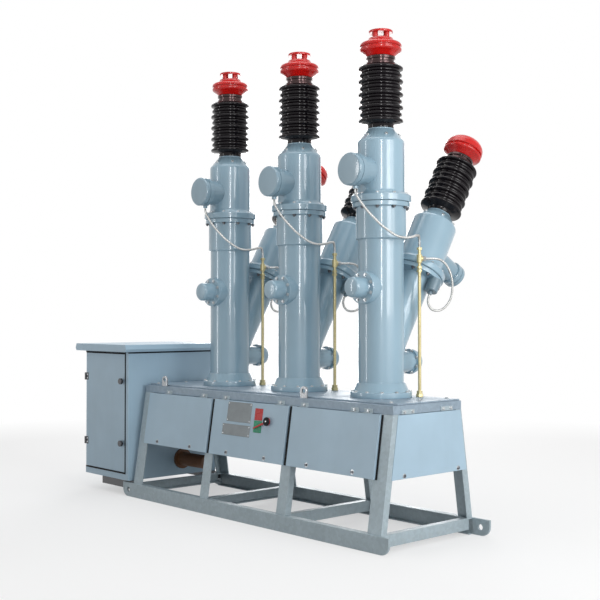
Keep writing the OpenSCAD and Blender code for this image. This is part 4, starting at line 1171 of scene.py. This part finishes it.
class BREAKER_OT_cabinet_trim(PieceOperator, bpy.types.Operator):
    """Black strips of painted shadow in the gaps round the cabinet's door and under its roof, dark hinges
    with bright screws on the door
    """
    bl_idname = "breaker.cabinet_trim"
    bl_label = "Door shadow strips and hinges"

    # Width and thickness of the black strips of painted shadow, their edge, and their clearance from the
    # door and the roof
    SEAL_W, SEAL_T, EDGE, DOOR_CLEAR, ROOF_CLEAR = 0.012, 0.003, 0.001, 0.0008, 0.0005
    SHARES, LEAF_W, LEAF_H, LEAF_T = (0.22, 0.78), 0.030, 0.056, 0.003
    BARREL_R, BARREL_IN, BARREL_END = 0.009, 0.004, 0.002
    SCREW_R, SCREW_AT = 0.006, 0.62

    def execute(self, context):
        low, high = (np.array(v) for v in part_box("cabinet_door"))
        frame_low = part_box("cabinet_front_frame")[0]
        low[:2] = frame_low.x + DOOR_GAP, frame_low.y
        self.make_door_gap_shadow(low, high)
        self.make_roof_gap_shadow(low, high)
        self.make_hinges(low, high)
        return {"FINISHED"}

    def strip(self, where, out, width, height):
        """Strip of the painted shadow's thickness about a point on an upright face."""
        return slab(on_wall(where, out), width, height, self.SEAL_T, self.EDGE)

    def make_door_gap_shadow(self, low, high):
        """Painted shadow of the door's gap: strips on the stile and on the sill, a little clear of the door.
        """
        half, top = self.SEAL_W / 2, high[2] + DOOR_GAP
        x, z = high[0] + self.DOOR_CLEAR + half, low[2] - self.DOOR_CLEAR - half
        strips("door_seal", [
            self.strip((x, low[1], (low[2] + top) / 2), FRONT, self.SEAL_W, top - low[2]),
            self.strip(((low[0] + x + half) / 2, low[1], z), FRONT, x + half - low[0], self.SEAL_W)])

    def make_roof_gap_shadow(self, low, high):
        """Painted shadow under the roof: strips on both side walls, on the rear wall and over the door,
        and one along the door's own top edge."""
        roof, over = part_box("cabinet_roof")[0].z - self.ROOF_CLEAR, high[2] + self.ROOF_CLEAR
        wall_low, wall_high = (np.array(v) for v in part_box("cabinet_side_walls"))
        x, y, _ = (wall_low + wall_high) / 2
        wide, deep, _ = wall_high - wall_low
        z, rear = roof - self.SEAL_W / 2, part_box("cabinet_rear_wall")[1].y
        strips("roof_seal", [
            self.strip((wall_high[0], y, z), X_AXIS, deep, self.SEAL_W),
            self.strip((wall_low[0], y, z), -X_AXIS, deep, self.SEAL_W),
            self.strip((x, rear, z), REAR, wide, self.SEAL_W),
            self.strip((x, low[1], (over + roof) / 2), FRONT, wide, roof - over)])
        top = (low[0] + high[0]) / 2, low[1], high[2] - self.EDGE - self.SEAL_W / 2
        door_wide = high[0] - low[0] - 2 * self.EDGE
        strips("door_top_seal", [self.strip(top, FRONT, door_wide, self.SEAL_W)], "door")

    def make_hinges(self, low, high):
        """A leaf on the door's face and a round barrel at its edge."""
        leaves, screws = [], []
        r = self.BARREL_R
        barrel = rounded([(r - STEP, 0), (r, STEP), (r, self.LEAF_H - STEP),
                          (r - self.BARREL_END, self.LEAF_H)], KEEN)
        for share in self.SHARES:
            z = low[2] + share * (high[2] - low[2])
            leaf = on_wall((low[0] + self.LEAF_W / 2, low[1], z), FRONT)
            foot = np.array([low[0] - self.BARREL_IN, low[1] - self.BARREL_IN, z - self.LEAF_H / 2])
            leaves += [slab(leaf, self.LEAF_W, self.LEAF_H, self.LEAF_T, self.EDGE),
                       revolve(barrel, (foot, SQUARE), SMALL)]
            screws += [(low[0] + self.LEAF_W * self.SCREW_AT, low[1] - self.LEAF_T, z + k * self.LEAF_H / 4)
                       for k in (-1, 1)]
        piece("door_hinge_leaves", join(leaves), "dark_steel", body="door")
        spots = np.array(screws), np.repeat([FRONT], len(screws), 0)
        fasteners("hinge_screws", ROUND_SCREW, spots, self.SCREW_R, sharp=SHARP, body="door")


class BREAKER_OT_knob(PieceOperator, bpy.types.Operator):
    """Dark knob over the pointer's pivot with a bright middle"""
    bl_idname = "breaker.knob"
    bl_label = "Pointer knob"

    FOOT, TOP, R, EDGE_R, SIDES = 0.0125, 0.0235, 0.0275, 0.004, 40
    EYE_R, EYE_RIM, EYE_TOP = 0.006, 0.002, 0.003

    def execute(self, context):
        place = PIVOT, facing(-PIVOT_IN)
        shell = rounded([(self.R - STEP, self.FOOT), (self.R, self.FOOT + STEP), (self.R, self.TOP),
                         (TIP_R, self.TOP)], self.EDGE_R)
        eye = rounded([(self.EYE_R, self.TOP - HAIR), (self.EYE_R, self.TOP + self.EYE_RIM),
                       (TIP_R, self.TOP + self.EYE_TOP)], KEEN)
        knob, screw = revolve(shell, place, self.SIDES), revolve(eye, place, SMALL)
        piece("pointer_knob", knob, "dark_steel", finish="seal_black", body="pointer")
        piece("pointer_screw", screw, "bright_metal", finish="bolt_zinc", body="pointer")
        return {"FINISHED"}


class BREAKER_OT_frame_finish(PieceOperator, bpy.types.Operator):
    """Finishes for the solids that stay as they are, with softened edges"""
    bl_idname = "breaker.frame_finish"
    bl_label = "Frame and cabinet finishes"

    OWN = {"top_plate": "deck_zinc", "top_rails": "deck_zinc", "end_rails": "deck_zinc"}
    SOFTER = {"top_plate": 2.0}
    MERGE, EDGE_ANGLE, EDGE_STEPS = 0.00002, math.radians(40), 2

    def execute(self, context):
        slots = {part["node"]: part["material_slot"] for part in frame["record"]["subparts"]}
        for name, obj in NODES.items():
            obj.data.materials.clear()
            obj.data.materials.append(FINISH[self.OWN.get(name, slots[name])])
            if obj.hide_render:
                continue
            weld = obj.modifiers.new("merge", "WELD")
            weld.merge_threshold = self.MERGE
            bevel = obj.modifiers.new("edges", "BEVEL")
            bevel.width = self.sizes.edge * self.SOFTER.get(name, 1.0)
            bevel.segments = self.EDGE_STEPS
            bevel.limit_method = "ANGLE"
            bevel.angle_limit = self.EDGE_ANGLE
            bevel.use_clamp_overlap = True
        return {"FINISHED"}


OPERATORS = (
    BREAKER_OT_stage, BREAKER_OT_hoses, BREAKER_OT_tanks, BREAKER_OT_arms, BREAKER_OT_gaskets,
    BREAKER_OT_covers, BREAKER_OT_housings, BREAKER_OT_boxes, BREAKER_OT_bushings, BREAKER_OT_terminals,
    BREAKER_OT_wiring, BREAKER_OT_bolts, BREAKER_OT_clips, BREAKER_OT_gap_shadows, BREAKER_OT_welds,
    BREAKER_OT_plates, BREAKER_OT_cabinet_trim, BREAKER_OT_knob, BREAKER_OT_frame_finish)


class BREAKER_PT_panel(bpy.types.Panel):
    """Lists the breaker's sizes, colours and pieces"""
    bl_idname = "BREAKER_PT_panel"
    bl_label = "Breaker"
    bl_space_type = "VIEW_3D"
    bl_region_type = "UI"
    bl_category = "Breaker"

    def draw(self, context):
        for group in (context.scene.breaker_sizes, context.scene.breaker_colours):
            for name in group.bl_rna.properties.keys():
                if name not in ("rna_type", "name"):
                    self.layout.prop(group, name)
        for operator in OPERATORS:
            self.layout.operator(operator.bl_idname)


CLASSES = (BreakerSizes, BreakerColours) + OPERATORS + (BREAKER_PT_panel,)


def register():
    for cls in CLASSES:
        bpy.utils.register_class(cls)
    bpy.types.Scene.breaker_sizes = bpy.props.PointerProperty(type=BreakerSizes)
    bpy.types.Scene.breaker_colours = bpy.props.PointerProperty(type=BreakerColours)


def unregister():
    del bpy.types.Scene.breaker_sizes
    del bpy.types.Scene.breaker_colours
    for cls in reversed(CLASSES):
        bpy.utils.unregister_class(cls)


def main():
    """Registers the add-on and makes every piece."""
    register()
    make_finishes(bpy.context.scene.breaker_colours)
    for operator in OPERATORS:
        group, name = operator.bl_idname.split(".")
        getattr(getattr(bpy.ops, group), name)()


if __name__ == "__main__":
    main()
